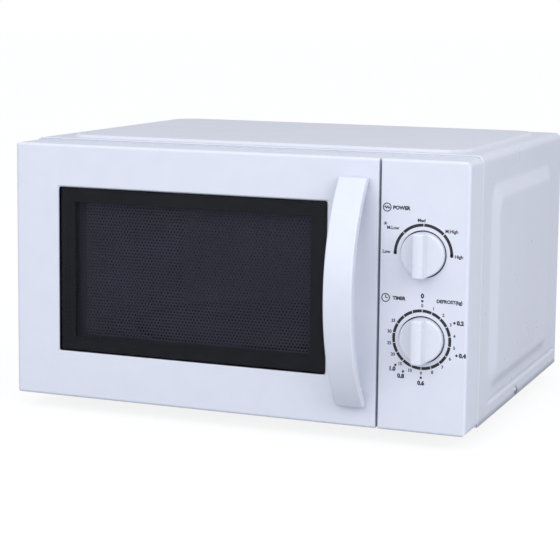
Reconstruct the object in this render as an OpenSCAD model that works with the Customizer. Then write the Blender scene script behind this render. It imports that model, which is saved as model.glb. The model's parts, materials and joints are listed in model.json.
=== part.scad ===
// Countertop microwave oven with a side-hung door, two dials and a turntable.
// X runs across the front, the door faces -Y, and Z is up from the feet.

/* [Overall size] */
// Width of the front, door and control panel together
body_w = 440; // [370:1:540]
// Height of the door and control panel
front_h = 238; // [205:1:300]
// Depth of the steel cabinet behind the front
cabinet_d = 310; // [265:1:380]
// Thickness of the door and control panel
front_t = 40; // [38:1:50]
// Height of the feet
foot_h = 14; // [10:1:20]
// How far the handle stands out from the door
handle_proud = 44; // [36:1:56]

/* [Cabinet] */
// Thickness of the cabinet, cavity and chassis sheet
sheet_t = 1; // [0.6:0.1:1.5]
// Outer radius of the fold between the top and the sides
fold_r = 7; // [4:1:12]
// How far the cabinet stands above the front
cabinet_rise = 2; // [0:0.5:5]
// How far the pressed panels on the sides stand out
side_press = 5; // [2:0.5:8]
// How far the pressed panel on the top stands up
top_press = 2.5; // [1:0.5:5]
// How far the cord gland stands out behind
rear_proud = 6; // [4:1:12]
// Radius of the power cord's hole through the gland
cord_r = 4; // [3:0.5:5]

/* [Door] */
// Width of the control panel
panel_w = 79.5; // [74:0.5:90]
// Gap between the door and the control panel
door_gap = 2; // [1.5:0.5:4]
// Width of the door frame to the left of the glass
stile_left = 46; // [40:1:60]
// Width of the door frame to the right of the glass
stile_right = 47.5; // [44:0.5:60]
// Width of the door frame below the glass
rail_low = 44; // [36:1:54]
// Width of the door frame above the glass
rail_high = 40; // [34:1:52]
// Thickness of the door frame's moulded walls
wall_t = 2.5; // [2:0.5:3.5]
// Thickness of the door glass
glass_t = 3; // [2:0.5:4]
// Distance of the hinge pin from the door's left and rear faces
pivot_inset = 11; // [10:0.5:12]
// Radius of the hinge pins
pin_r = 2.5; // [2:0.25:3]
// Running clearance of pins and shafts in their holes
run_gap = 0.06; // [0.02:0.01:0.1]
// Width of the handle
handle_w = 26; // [20:1:32]
// Thickness of the handle's bow
handle_t = 8; // [6:1:10]

/* [Controls] */
// Height of the timer dial's centre above the front's lower edge
timer_z = 82.6; // [76:0.2:90]
// Distance between the two dials
dial_pitch = 74.4; // [64:0.2:80]
// Distance of the dials from the right-hand edge
dial_inset = 40.5; // [38:0.5:44]
// Radius of each knob's round base
knob_r = 19.5; // [17:0.5:21]
// How far each knob's grip stands out
knob_proud = 19; // [14:1:24]

/* [Oven] */
// Gap between the cabinet's left side and the cavity
bay_left = 21; // [20:1:30]
// Width of the bay for the electrical parts
bay_right = 113; // [110:1:125]
// Gap between the chassis and the cavity floor
bay_low = 22; // [21:1:30]
// Gap between the cavity's ceiling and the front's upper edge
bay_high = 10; // [8:1:20]
// Gap between the cavity's rear wall and the back
bay_rear = 18; // [14:1:40]
// Gap between the glass tray and the nearest cavity wall
tray_gap = 18.5; // [10:0.5:30]
// Height of the glass tray's underside above the cavity floor
tray_lift_h = 14; // [12:1:18]

/* [Hidden] */
$fn = 48;
hull_fn = 32;
eps = 0.01;

// Outside planes of the whole oven
total_d = handle_proud + front_t + cabinet_d + rear_proud;
x_left = -body_w / 2;
x_right = body_w / 2;
y_front = handle_proud - total_d / 2;
y_cab = y_front + front_t;
y_rear = y_cab + cabinet_d;
z_base = foot_h;
z_top = z_base + front_h;
z_cab = z_top + cabinet_rise;

// Door outline and hinge line
door_back_gap = 1.5;
x_door = x_right - panel_w - door_gap;
x_panel = x_right - panel_w;
y_door = y_cab - door_back_gap;
x_pivot = x_left + pivot_inset;
y_pivot = y_door - pivot_inset;
arm_w = 10;
arm_t = 2;
arm_inset = 14;
z_arm_high = z_top - arm_inset;
z_arm_low = z_base + arm_inset;
pin_len = 8;
lug_t = 2;
lug_gap = 3;
face_t = 3;
corner_r = 5;
side_r = 4;
edge_r = 2.5;
gap_r = 1.2;

// Window in the door
glass_sink = 0.4;
glass_gap = 0.3;
win_x0 = x_left + stile_left;
win_x1 = x_door - stile_right;
win_z0 = z_base + rail_low;
win_z1 = z_top - rail_high;
rebate = 6;
rebate_t = 2;
bevel = 1.2;
screen_y = y_front + 11;
screen_t = 0.8;
screen_lap = 5;

// Steel inner panel of the door, a pan with a choke channel around it
pan_y = y_door - 1.5;
flange_y = y_door - 18;
skirt_x0 = x_pivot + 22;
latch_inset = 13.5;
x_latch = x_door - latch_inset;
skirt_x1 = x_latch - 10;
skirt_z0 = z_base + 16;
skirt_z1 = z_top - 8;
fit_gap = 0.5;

// Cavity, from its inner faces
cav_x0 = x_left + bay_left;
cav_x1 = x_right - bay_right;
cav_z0 = z_base + bay_low;
cav_z1 = z_top - bay_high;
cav_y0 = y_cab + sheet_t;
cav_y1 = y_rear - bay_rear;
tray_x = (cav_x0 + cav_x1) / 2;
tray_y = (cav_y0 + cav_y1) / 2;
tray_r = min(cav_x1 - cav_x0, cav_y1 - cav_y0) / 2 - tray_gap;
rim_h = 13;
tray_t = 4;
tray_z = cav_z0 + tray_lift_h;
ring_r = 88;
roll_clear = 0.3;
roller_r = (tray_lift_h - 2 * roll_clear) / 2;
roller_w = 6;
axle_r = 1.5;
floor_hole_r = 7;
drive_r = 3.5;
drive_depth = 9;

// Door latch and its switches
latch_travel = 5;
hook_t = 4;
hook_h = 16;
tooth_h = 3.5;
hook_reach = 21;
hook_tip_y = y_door + hook_reach;
hook_high_z = z_top - 50;
hook_low_z = z_base + 60;
board_d = 26;
switch_y = y_cab + sheet_t + board_d + 1;
switch_size = [28, 16, 10];
plunger_r = 1.5;
plunger_offset = 5.3;

// Handle, a bow of constant thickness on two short feet
handle_end = 8;
handle_low = 19;
handle_high = 17;
handle_edge = 8.5;
handle_foot = 17;
handle_x = x_door - handle_edge - handle_w / 2;
handle_z = (z_base + handle_low + z_top - handle_high) / 2;
handle_half = (front_h - handle_low - handle_high) / 2;
handle_screw_z = handle_half - handle_foot / 2;
handle_screw_len = 8;
bow = handle_proud - handle_end;
bow_r = (handle_half * handle_half + bow * bow) / (2 * bow);
bow_y = y_front - handle_proud + bow_r;

// Dials
dial_x = x_right - dial_inset;
timer_zc = z_base + timer_z;
power_zc = timer_zc + dial_pitch;
dial_sink = 1.5;
dial_gap = 1.2;
knob_base = 6;
knob_float = 0.3;
y_knob = y_front + dial_sink - knob_float;
knob_bore = 10;
grip_w = 11;
shaft_r = 3;
shaft_hole_r = 4.5;
control_y = y_front + 14;
timer_size = [54, 40, 50];
selector_size = [50, 28, 44];

// Electrical bay
bay_x0 = cav_x1 + sheet_t;
bay_x1 = x_right - sheet_t;
guide_x1 = bay_x0 + 24;
guide_y0 = y_cab + 66;
guide_y1 = y_cab + 156;
guide_z1 = z_cab - 22;
guide_z0 = guide_z1 - 68;
mag_y = (guide_y0 + guide_y1) / 2;
mag_z = (guide_z0 + guide_z1) / 2;
yoke_w = 56;
yoke_d = 84;
yoke_h = 70;
anode_r = 18;
xfmr_x = bay_x0 + 56;
xfmr_y = y_cab + 120;
xfmr_z0 = z_base + sheet_t;
leg_w = 28;
core_w = 84;
core_d = 56;
core_h = 70;
yoke_t = 14;
fan_wall_y = y_rear - 42;
fan_x = bay_x0 + 56;
fan_z = z_cab - 64;
fan_r = 42;
fan_clear = 3;
cap_x = bay_x0 + 44;
cap_y = fan_wall_y - 46;
cap_h = 82;
lamp_y = fan_wall_y - 34;
lamp_z = cav_z0 + 84;
gland_x = bay_x0 + 80;
gland_z = z_base + 34;
foot_side = 30;
foot_front = 34;
foot_back = 35;
screw_r = 2;
// Clearance of screws, studs and glands in their holes
hole_gap = 0.1;
screw_hole_r = screw_r + hole_gap;
foot_stud_r = 4;
gland_neck_r = 9;
antenna_hole_r = 12;
duct_wall = 1.2;
fan_shaft_r = 2.5;
latch_bar_end = 12;

// ---- shapes that repeat ----

// A box given by two corners
module box(lo, hi) {
    translate(lo) cube(hi - lo);
}

// Round bars that start at p and run along one axis
module rod_x(p, len, r) {
    translate(p) rotate([0, 90, 0]) cylinder(h = len, r = r);
}

module rod_y(p, len, r) {
    translate(p) rotate([-90, 0, 0]) cylinder(h = len, r = r);
}

module rod_z(p, len, r) {
    translate(p) cylinder(h = len, r = r);
}

// An XZ outline pushed along +Y from y
module along_y(y, len) {
    translate([0, y + len, 0]) rotate([90, 0, 0]) linear_extrude(len) children();
}

// A YZ outline pushed along +X from x
module along_x(x, len) {
    translate([x, 0, 0]) rotate([90, 0, 90]) linear_extrude(len) children();
}

// A rectangle whose corners have the radii
// [low left, low right, high right, high left]
module rect4(lo, hi, r) {
    corners = [lo, [hi.x, lo.y], hi, [lo.x, hi.y]];
    difference() {
        translate(lo) square(hi - lo);
        for (i = [0:3])
            if (r[i] > 0)
                translate(corners[i]) rotate(90 * i) difference() {
                    translate([-1, -1]) square(r[i] + 1);
                    translate([r[i], r[i]]) circle(r[i]);
                }
    }
}

module round_rect(lo, hi, r) {
    rect4(lo, hi, [r, r, r, r]);
}

// A pan-head screw along +Z with its head's underside at the origin
module screw(len, head_r = 4.2, head_h = 2) {
    slot_w = 1.2;
    difference() {
        union() {
            translate([0, 0, -len]) cylinder(h = len, r = screw_r);
            cylinder(h = head_h * 0.5, r = head_r);
            translate([0, 0, head_h * 0.5])
                cylinder(h = head_h * 0.5, r1 = head_r, r2 = head_r * 0.7);
        }
        for (a = [0, 90])
            rotate(a) translate([-head_r * 0.6, -slot_w / 2, head_h * 0.5])
                cube([head_r * 1.2, slot_w, head_h]);
    }
}

// A panel pressed up out of flat sheet, with sloping sides
module pressing(size, flat_lo, flat_hi, r, rise, inset) {
    slab = 0.2;
    hull() {
        translate([0, 0, -2 * sheet_t])
            linear_extrude(slab, $fn = hull_fn)
                round_rect([inset, inset], size - [inset, inset], r);
        translate([0, 0, rise - inset - slab])
            linear_extrude(slab, $fn = hull_fn)
                round_rect(flat_lo + [inset, inset], flat_hi - [inset, inset], r * 0.7);
    }
}

// Points of a round-wire coil spring, as rings of a tube swept along a helix
function coil_ring(turn, coil_r, wire_r, pitch, sides) = [
    for (s = [0:sides - 1])
        let (a = 360 * turn, b = 360 * s / sides, r = coil_r + wire_r * cos(b))
            [r * cos(a), r * sin(a), pitch * turn + wire_r * sin(b)]
];

module coil(turns, coil_r, wire_r, pitch) {
    sides = 8;
    steps = 12 * turns;
    points = [for (i = [0:steps]) each coil_ring(i / 12, coil_r, wire_r, pitch, sides)];
    skin = [
        for (i = [0:steps - 1], s = [0:sides - 1])
            let (t = (s + 1) % sides)
                [i * sides + s, i * sides + t, (i + 1) * sides + t, (i + 1) * sides + s]
    ];
    first = [[for (s = [sides - 1:-1:0]) s]];
    last = [[for (s = [0:sides - 1]) steps * sides + s]];
    polyhedron(points, concat(first, skin, last));
}

// ---- cabinet and chassis ----

press_y0 = y_front + 71;
press_y1 = y_rear - 47;
press_z0 = z_base + 27;
press_z1 = z_top - 26;
press_slope_y = 15;
press_slope_low = 10.5;
press_slope_high = 13;
groove_z = z_base + 15.5;
groove_r = 3;
groove_depth = 1.5;
groove_y0 = press_y0 + 6;
groove_y1 = y_rear - 12;
side_screw_y = y_cab + 138;
side_screw_z = z_base + 5.5;
top_front = 15;
top_side = 20;
top_back = 20;
top_slope = 3;
rear_lip = 12;

// The cabinet's arch seen from the front, shrunk by inset
module arch(inset, low = 0) {
    rect4([x_left + inset, z_base + low], [x_right - inset, z_cab - inset],
        [0, 0, fold_r - inset, fold_r - inset]);
}

// The pressed panel on the right-hand side
module side_pressing(inset) {
    length = press_y1 - press_y0;
    height = press_z1 - press_z0;
    translate([x_right, press_y0, press_z0]) rotate([90, 0, 90])
        pressing([length, height],
            [press_slope_y, press_slope_low],
            [length - press_slope_y, height - press_slope_high],
            18, side_press, inset);
}

// The long groove rolled in along the foot of each side, or with grow, its inner face
module side_groove(grow) {
    run = groove_y1 - groove_y0;
    r = groove_r + grow;
    translate([x_right + groove_r - groove_depth, groove_y0, groove_z]) {
        rotate([-90, 0, 0]) cylinder(h = run, r = r);
        sphere(r);
        translate([0, run, 0]) sphere(r);
    }
}

module top_pressing(inset) {
    width = body_w - 2 * top_side;
    depth = cabinet_d - top_front - top_back;
    translate([x_left + top_side, y_cab + top_front, z_cab])
        pressing([width, depth], [top_slope, top_slope],
            [width - top_slope, depth - top_slope], 30, top_press, inset);
}

module both_sides() {
    children();
    mirror([1, 0, 0]) children();
}

module cabinet() {
    color("white") difference() {
        union() {
            difference() {
                union() {
                    along_y(y_cab, cabinet_d) arch(0);
                    both_sides() side_pressing(0);
                    top_pressing(0);
                }
                along_y(y_cab - 1, cabinet_d + 1 - sheet_t) arch(sheet_t, -1);
                along_y(y_rear - sheet_t - 1, sheet_t + 2) arch(rear_lip, -1);
                both_sides() side_pressing(sheet_t);
                top_pressing(sheet_t);
            }
            both_sides() intersection() {
                side_groove(sheet_t);
                box([x_right - rear_lip, y_cab, z_base], [x_right - sheet_t / 2, y_rear, press_z0]);
            }
        }
        both_sides() {
            side_groove(0);
            rod_x([x_right - 2 * sheet_t, side_screw_y, side_screw_z], 3 * sheet_t, screw_hole_r);
        }
        for (p = rear_screw_places)
            rod_y([p.x, y_rear - 2 * sheet_t, p.y], 3 * sheet_t, screw_hole_r);
    }
}

chassis_x = x_right - sheet_t;
chassis_y0 = y_cab + sheet_t;
chassis_y1 = y_rear - 2 * sheet_t;
side_flange_h = 12;
rear_screw_in = 6;
rear_screw_places = [
    [x_left + rear_screw_in, z_base + 40], [x_right - rear_screw_in, z_base + 40],
    [x_left + rear_screw_in, z_top - 40], [x_right - rear_screw_in, z_top - 40],
    [-120, z_cab - rear_screw_in], [120, z_cab - rear_screw_in]
];
foot_places = [
    for (x = [x_left + foot_side, x_right - foot_side], y = [y_cab + foot_front, y_rear - foot_back])
        [x, y]
];

module base_plate() {
    slot_w = 4;
    slot_l = 34;
    slot_pitch = 9;
    slots_y = xfmr_y + 80;
    color("silver") difference() {
        union() {
            box([-chassis_x, chassis_y0, z_base], [chassis_x, chassis_y1, z_base + sheet_t]);
            both_sides()
                box([chassis_x - sheet_t, chassis_y0, z_base],
                    [chassis_x, chassis_y1, z_base + side_flange_h]);
        }
        both_sides()
            rod_x([chassis_x - 2 * sheet_t, side_screw_y, side_screw_z], 3 * sheet_t, screw_hole_r);
        for (p = foot_places)
            rod_z([p.x, p.y, z_base - 1], sheet_t + 2, foot_stud_r + hole_gap);
        for (i = [0:5])
            box([xfmr_x - slot_l / 2, slots_y + slot_pitch * i, z_base - 1],
                [xfmr_x + slot_l / 2, slots_y + slot_pitch * i + slot_w, z_base + 2]);
    }
}

module rear_plate() {
    slot_w = 3;
    slot_l = 26;
    slot_pitch = 8;
    column_x = 16;
    color("silver") difference() {
        along_y(chassis_y1, sheet_t) arch(sheet_t, sheet_t);
        rod_y([gland_x, chassis_y1 - 1, gland_z], sheet_t + 2, gland_neck_r + hole_gap);
        for (p = rear_screw_places)
            rod_y([p.x, chassis_y1 - 1, p.y], sheet_t + 2, screw_hole_r);
        for (i = [-4:4], s = [-1, 1])
            box([fan_x + s * column_x - slot_l / 2, chassis_y1 - 1, fan_z + slot_pitch * i],
                [fan_x + s * column_x + slot_l / 2, chassis_y1 + 2, fan_z + slot_pitch * i + slot_w]);
    }
}

module front_plate() {
    ctrl_x0 = x_panel + 6;
    ctrl_x1 = x_right - 6;
    ctrl_z0 = z_base + 44;
    ctrl_z1 = z_top - 38;
    color("white") difference() {
        along_y(y_cab, sheet_t) arch(sheet_t, 0);
        box([cav_x0, y_cab - 1, cav_z0], [cav_x1, y_cab + 2, cav_z1]);
        box([ctrl_x0, y_cab - 1, ctrl_z0], [ctrl_x1, y_cab + 2, ctrl_z1]);
        for (z = [hook_high_z, hook_low_z])
            box([x_latch - 5, y_cab - 1, z - hook_h / 2 - 1],
                [x_latch + 5, y_cab + 2, z + hook_h / 2 + latch_travel + 1]);
        for (z = [z_arm_high, z_arm_low - arm_t])
            box([x_pivot - arm_w / 2 - fit_gap, y_cab - 1, z - fit_gap],
                [x_pivot + arm_w / 2 + fit_gap, y_cab + 2, z + arm_t + fit_gap]);
    }
}

module cavity() {
    vent_r = 1.6;
    vent_pitch = 5;
    vents_y = cav_y1 - 60;
    vents_z = cav_z1 - 30;
    port_inset = 14;
    color("gainsboro") difference() {
        box([cav_x0 - sheet_t, cav_y0, cav_z0 - sheet_t],
            [cav_x1 + sheet_t, cav_y1 + sheet_t, cav_z1 + sheet_t]);
        box([cav_x0, cav_y0 - 1, cav_z0], [cav_x1, cav_y1, cav_z1]);
        rod_z([tray_x, tray_y, cav_z0 - 3], 6, floor_hole_r);
        box([cav_x1 - 1, guide_y0 + port_inset, guide_z0 + port_inset],
            [cav_x1 + 3, guide_y1 - port_inset, guide_z1 - port_inset]);
        for (i = [-2:2], k = [-2:2])
            rod_x([cav_x1 - 1, lamp_y + vent_pitch * i, lamp_z + vent_pitch * k], 3, vent_r);
        for (i = [0:7], k = [0:2])
            rod_x([cav_x0 - 2, vents_y + vent_pitch * i, vents_z + vent_pitch * k], 3, vent_r);
    }
}

module feet() {
    sole_r = 10;
    top_r = 12;
    stud_h = 4;
    color("dimgray") for (p = foot_places)
        translate([p.x, p.y, 0]) {
            cylinder(h = foot_h, r1 = sole_r, r2 = top_r);
            translate([0, 0, foot_h - eps]) cylinder(h = stud_h, r = foot_stud_r);
        }
}

module cabinet_screws() {
    color("silver") both_sides()
        translate([x_right, side_screw_y, side_screw_z]) rotate([0, 90, 0]) screw(6);
}

module rear_screws() {
    color("silver") for (p = rear_screw_places)
        translate([p.x, y_rear, p.y]) rotate([-90, 0, 0]) screw(6);
}

// One hinge bracket with its arm's lower face at z, its pin going down or up
module hinge_bracket(z, pin_dir) {
    plate_near = 6;
    plate_far = 20;
    plate_t = 1.5;
    base_lo = z - (pin_dir < 0 ? plate_far : plate_near);
    base_hi = z + arm_t + (pin_dir < 0 ? plate_near : plate_far);
    pin_z = pin_dir < 0 ? z - pin_len : z + arm_t;
    color("silver") {
        box([x_pivot - arm_w / 2, y_pivot, z], [x_pivot + arm_w / 2, chassis_y0 + eps, z + arm_t]);
        rod_z([x_pivot, y_pivot, z], arm_t, arm_w / 2);
        rod_z([x_pivot, y_pivot, pin_z], pin_len, pin_r);
        box([x_pivot - arm_w / 2 - 3, chassis_y0, base_lo],
            [x_pivot + arm_w / 2 + 2, chassis_y0 + plate_t, base_hi]);
    }
}

module hinge_upper() {
    hinge_bracket(z_arm_high, -1);
}

module hinge_lower() {
    hinge_bracket(z_arm_low - arm_t, 1);
}

module cord_gland() {
    flange_r = 13;
    flange_t = 4;
    tail = 8;
    barb = 1.5;
    outside = chassis_y1 + sheet_t;
    color("black") difference() {
        union() {
            rod_y([gland_x, chassis_y1 - tail, gland_z], tail + 2 * sheet_t + eps, gland_neck_r);
            rod_y([gland_x, outside, gland_z], flange_t, flange_r);
            translate([gland_x, outside + flange_t, gland_z]) rotate([-90, 0, 0])
                cylinder(h = rear_proud + sheet_t - flange_t, r1 = 11, r2 = 8);
            rod_y([gland_x, chassis_y1 - tail, gland_z], tail - 1, gland_neck_r + barb);
        }
        rod_y([gland_x, chassis_y1 - tail - 1, gland_z], tail + 3 * sheet_t + rear_proud + 2, cord_r);
    }
}

// ---- control panel and what is behind it ----

module control_panel() {
    back_gap = 0.8;
    boss_r = 3.5;
    boss_x = 21;
    boss_z = 17;
    face_back = y_front + face_t;
    color("white") {
        difference() {
            intersection() {
                along_y(y_front, front_t - back_gap)
                    rect4([x_panel, z_base], [x_right, z_top], [gap_r, corner_r, corner_r, gap_r]);
                translate([0, 0, z_base - 1]) linear_extrude(front_h + 2)
                    rect4([x_panel, y_front], [x_right, y_cab + 1], [gap_r, edge_r, 0, 0]);
                along_x(x_panel - 1, panel_w + 2)
                    rect4([y_front, z_base], [y_cab + 1, z_top], [edge_r, 0, 0, edge_r]);
            }
            box([x_panel + wall_t, y_front + face_t, z_base + wall_t],
                [x_right - wall_t, y_cab + 1, z_top - wall_t]);
            for (z = [timer_zc, power_zc]) {
                rod_y([dial_x, y_front - 1, z], dial_sink + 1, knob_r + dial_gap);
                rod_y([dial_x, y_front, z], face_t + 1, shaft_hole_r);
            }
        }
        for (z = [timer_zc, power_zc], sx = [-1, 1], sz = [-1, 1])
            rod_y([dial_x + sx * boss_x, face_back - eps, z + sz * boss_z],
                control_y - face_back + eps, boss_r);
    }
}

// A switch body behind a dial, with a bushing and a blind bore for its shaft
module dial_unit(z, size, tone) {
    bush_r = 6;
    bush_y = y_front + face_t + 1.5;
    bore_depth = 12;
    color(tone) difference() {
        union() {
            box([dial_x - size.x / 2, control_y, z - size.z / 2],
                [dial_x + size.x / 2, control_y + size.y, z + size.z / 2]);
            rod_y([dial_x, bush_y, z], control_y - bush_y + eps, bush_r);
        }
        rod_y([dial_x, y_front, z], control_y - y_front + bore_depth, shaft_r + run_gap);
    }
}

module timer_unit() {
    dial_unit(timer_zc, timer_size, "dimgray");
}

module timer_bell() {
    bell_r = 20;
    bell_h = 9;
    bell_wall = 1.2;
    post_h = 5;
    color("silver") translate([dial_x, control_y + timer_size.y, timer_zc]) rotate([-90, 0, 0]) {
        cylinder(h = post_h, r = 3);
        translate([0, 0, post_h - eps]) rotate_extrude() difference() {
            rect4([0, 0], [bell_r, bell_h], [0, 0, 7, 0]);
            translate([0, -bell_wall]) rect4([0, 0], [bell_r - bell_wall, bell_h], [0, 0, 6, 0]);
        }
        translate([0, 0, post_h]) cylinder(h = bell_h, r = 2.5);
    }
}

module power_selector() {
    dial_unit(power_zc, selector_size, "gray");
}

// ---- door switches ----

module latch_board() {
    x0 = x_latch - 13;
    x1 = x_latch + 11;
    y1 = chassis_y0 + board_d;
    end_low = 26;
    end_high = 24;
    slot_half = 6;
    sill_t = 7;
    wall = 3;
    color("ivory") difference() {
        box([x0, chassis_y0, hook_low_z - end_low], [x1, y1, hook_high_z + end_high]);
        // A slot for each hook, wider behind the sill that its tooth drops behind
        for (z = [hook_high_z, hook_low_z]) {
            box([x_latch - slot_half, chassis_y0 - 1, z - hook_h / 2 - 0.6],
                [x_latch + slot_half, y1 + 1, z + hook_h / 2 + latch_travel + 1]);
            box([x_latch - slot_half, chassis_y0 + sill_t, z - hook_h / 2 - tooth_h - 1],
                [x_latch + slot_half, y1 + 1, z]);
        }
        box([x0 + wall, chassis_y0 + wall, hook_low_z + 22], [x1 - wall, y1 + 1, hook_high_z - 20]);
    }
}

// A microswitch body with the bore that guides its plunger
module micro_switch(z) {
    bore_depth = 7;
    tab_pitch = 9;
    tab = [0.8, 7, 4.8];
    color("black") difference() {
        box([x_latch - switch_size.x / 2, switch_y, z - switch_size.z / 2],
            [x_latch + switch_size.x / 2, switch_y + switch_size.y, z + switch_size.z / 2]);
        rod_y([x_latch, switch_y - 1, z], bore_depth + 1, plunger_r + run_gap);
    }
    color("goldenrod") for (s = [-1, 0, 1])
        translate([x_latch + tab_pitch * s - tab.x / 2, switch_y + switch_size.y - eps, z - tab.z / 2])
            cube(tab);
}

module primary_switch() {
    micro_switch(hook_high_z);
}

module secondary_switch() {
    micro_switch(hook_low_z - plunger_offset);
}

module monitor_switch() {
    micro_switch(hook_low_z + plunger_offset);
}

module plunger(z) {
    tip_y = hook_tip_y + 0.3;
    color("firebrick") rod_y([x_latch, tip_y, z], switch_y + 4 - tip_y, plunger_r);
}

module primary_plunger() {
    plunger(hook_high_z);
}

module secondary_plunger() {
    plunger(hook_low_z - plunger_offset);
}

module monitor_plunger() {
    plunger(hook_low_z + plunger_offset);
}

// ---- microwave source ----

module waveguide() {
    color("silver") difference() {
        box([bay_x0, guide_y0, guide_z0], [guide_x1, guide_y1, guide_z1]);
        box([bay_x0 - 1, guide_y0 + duct_wall, guide_z0 + duct_wall],
            [guide_x1 - duct_wall, guide_y1 - duct_wall, guide_z1 - duct_wall]);
        rod_x([guide_x1 - 3, mag_y, mag_z], 5, antenna_hole_r);
    }
}

module waveguide_cover() {
    lap = 8;
    sheet = 0.8;
    color("tan") box([cav_x1 - sheet, guide_y0 + lap, guide_z0 + lap],
        [cav_x1, guide_y1 - lap, guide_z1 - lap]);
}

module magnetron_yoke() {
    wall = 2;
    color("silver") difference() {
        box([guide_x1, mag_y - yoke_d / 2, mag_z - yoke_h / 2],
            [guide_x1 + yoke_w, mag_y + yoke_d / 2, mag_z + yoke_h / 2]);
        box([guide_x1 + wall, mag_y - yoke_d, mag_z - yoke_h / 2 + wall],
            [guide_x1 + yoke_w - wall, mag_y + yoke_d, mag_z + yoke_h / 2 - wall]);
        rod_x([guide_x1 - 1, mag_y, mag_z], yoke_w + 2, antenna_hole_r);
    }
}

module magnetron_tube() {
    antenna_r = 8;
    antenna_reach = 16;
    fin_pitch = 6;
    fin_t = 0.8;
    fin_half = [yoke_d / 2 - 4, yoke_h / 2 - 3];
    inside = guide_x1 + 2;
    color("lightsteelblue") {
        rod_x([inside, mag_y, mag_z], yoke_w - 4, anode_r);
        for (i = [1:7])
            box([inside + fin_pitch * i, mag_y - fin_half.x, mag_z - fin_half.y],
                [inside + fin_pitch * i + fin_t, mag_y + fin_half.x, mag_z + fin_half.y]);
        rod_x([guide_x1 - antenna_reach, mag_y, mag_z], antenna_reach + 3, antenna_r);
        rod_x([guide_x1 + yoke_w - 3, mag_y, mag_z], 9, antenna_r);
    }
}

module magnetron_filter() {
    depth = 22;
    half = [30, 28];
    x0 = guide_x1 + yoke_w;
    color("silver") difference() {
        box([x0, mag_y - half.x, mag_z - half.y], [x0 + depth, mag_y + half.x, mag_z + half.y]);
        box([x0 - 1, mag_y - half.x + duct_wall, mag_z - half.y + duct_wall],
            [x0 + depth - duct_wall, mag_y + half.x - duct_wall, mag_z + half.y - duct_wall]);
    }
}

module transformer_core() {
    window_w = (core_w - leg_w - 2 * yoke_t) / 2;
    end_t = 12;
    color("slategray") difference() {
        box([xfmr_x - core_w / 2, xfmr_y - core_d / 2, xfmr_z0],
            [xfmr_x + core_w / 2, xfmr_y + core_d / 2, xfmr_z0 + core_h]);
        for (s = [-1, 1])
            box([xfmr_x + s * (leg_w + window_w) / 2 - window_w / 2, xfmr_y - core_d, xfmr_z0 + end_t],
                [xfmr_x + s * (leg_w + window_w) / 2 + window_w / 2, xfmr_y + core_d,
                 xfmr_z0 + core_h - end_t]);
    }
}

module transformer_windings() {
    gap = 0.4;
    turn_w = 12.5;
    end_w = 15;
    hw = leg_w / 2;
    hd = core_d / 2;
    module ring(z0, h) {
        translate([xfmr_x, xfmr_y, z0]) linear_extrude(h) difference() {
            round_rect([-hw - turn_w, -hd - end_w], [hw + turn_w, hd + end_w], 8);
            round_rect([-hw - gap, -hd - gap], [hw + gap, hd + gap], 1);
        }
    }
    color("darkorange") {
        ring(xfmr_z0 + 13, 24);
        ring(xfmr_z0 + 40, 17);
    }
}

// The capacitor's oval, seen from above
module can_outline(grow) {
    half = 10;
    r = 17 + grow;
    translate([cap_x - half, cap_y]) circle(r);
    translate([cap_x + half, cap_y]) circle(r);
    translate([cap_x - half, cap_y - r]) square([2 * half, 2 * r]);
}

module hv_capacitor() {
    color("silver") {
        translate([0, 0, z_base + sheet_t]) linear_extrude(cap_h) can_outline(0);
        for (s = [-1, 1])
            rod_z([cap_x + 9 * s, cap_y, z_base + sheet_t + cap_h - eps], 9, 3);
    }
}

module capacitor_clamp() {
    foot = 10;
    band_h = 12;
    band_z = z_base + 30;
    leg_y = cap_y + 18.1;
    leg_t = 1.5;
    color("gainsboro") {
        translate([0, 0, band_z]) linear_extrude(band_h) difference() {
            can_outline(1.2);
            can_outline(hole_gap);
        }
        box([cap_x - 5, leg_y, z_base + sheet_t], [cap_x + 5, leg_y + leg_t, band_z + band_h]);
        box([cap_x - 5, leg_y, z_base + sheet_t], [cap_x + 5, leg_y + foot, z_base + sheet_t + leg_t]);
    }
}

module hv_diode() {
    x = cap_x + 34;
    color("black") {
        rod_z([x, cap_y, z_base + 20], 18, 3);
        rod_z([x, cap_y, z_base + sheet_t], 46, 0.8);
    }
}

// ---- cooling ----

module fan_wall() {
    ring_t = 1.6;
    hole_r = fan_r + fan_clear;
    color("whitesmoke") difference() {
        union() {
            box([bay_x0 + 1, fan_wall_y, z_base + sheet_t], [bay_x1 - 2, fan_wall_y + 2, z_cab - 9]);
            rod_y([fan_x, fan_wall_y - 22, fan_z], 23, hole_r + ring_t);
        }
        rod_y([fan_x, fan_wall_y - 24, fan_z], 30, hole_r);
    }
}

module fan_motor() {
    stack = 18;
    bar_half = [53, 6];
    core_half = [26, 24];
    bar_y = fan_wall_y + 2;
    motor_y = bar_y + 2;
    color("dimgray") difference() {
        union() {
            box([fan_x - bar_half.x, bar_y, fan_z - bar_half.y],
                [fan_x + bar_half.x, motor_y, fan_z + bar_half.y]);
            box([fan_x - core_half.x, motor_y - eps, fan_z - core_half.y],
                [fan_x + core_half.x, motor_y + stack, fan_z + core_half.y]);
        }
        rod_y([fan_x, bar_y - 1, fan_z], stack + 6, fan_shaft_r + run_gap);
    }
}

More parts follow.
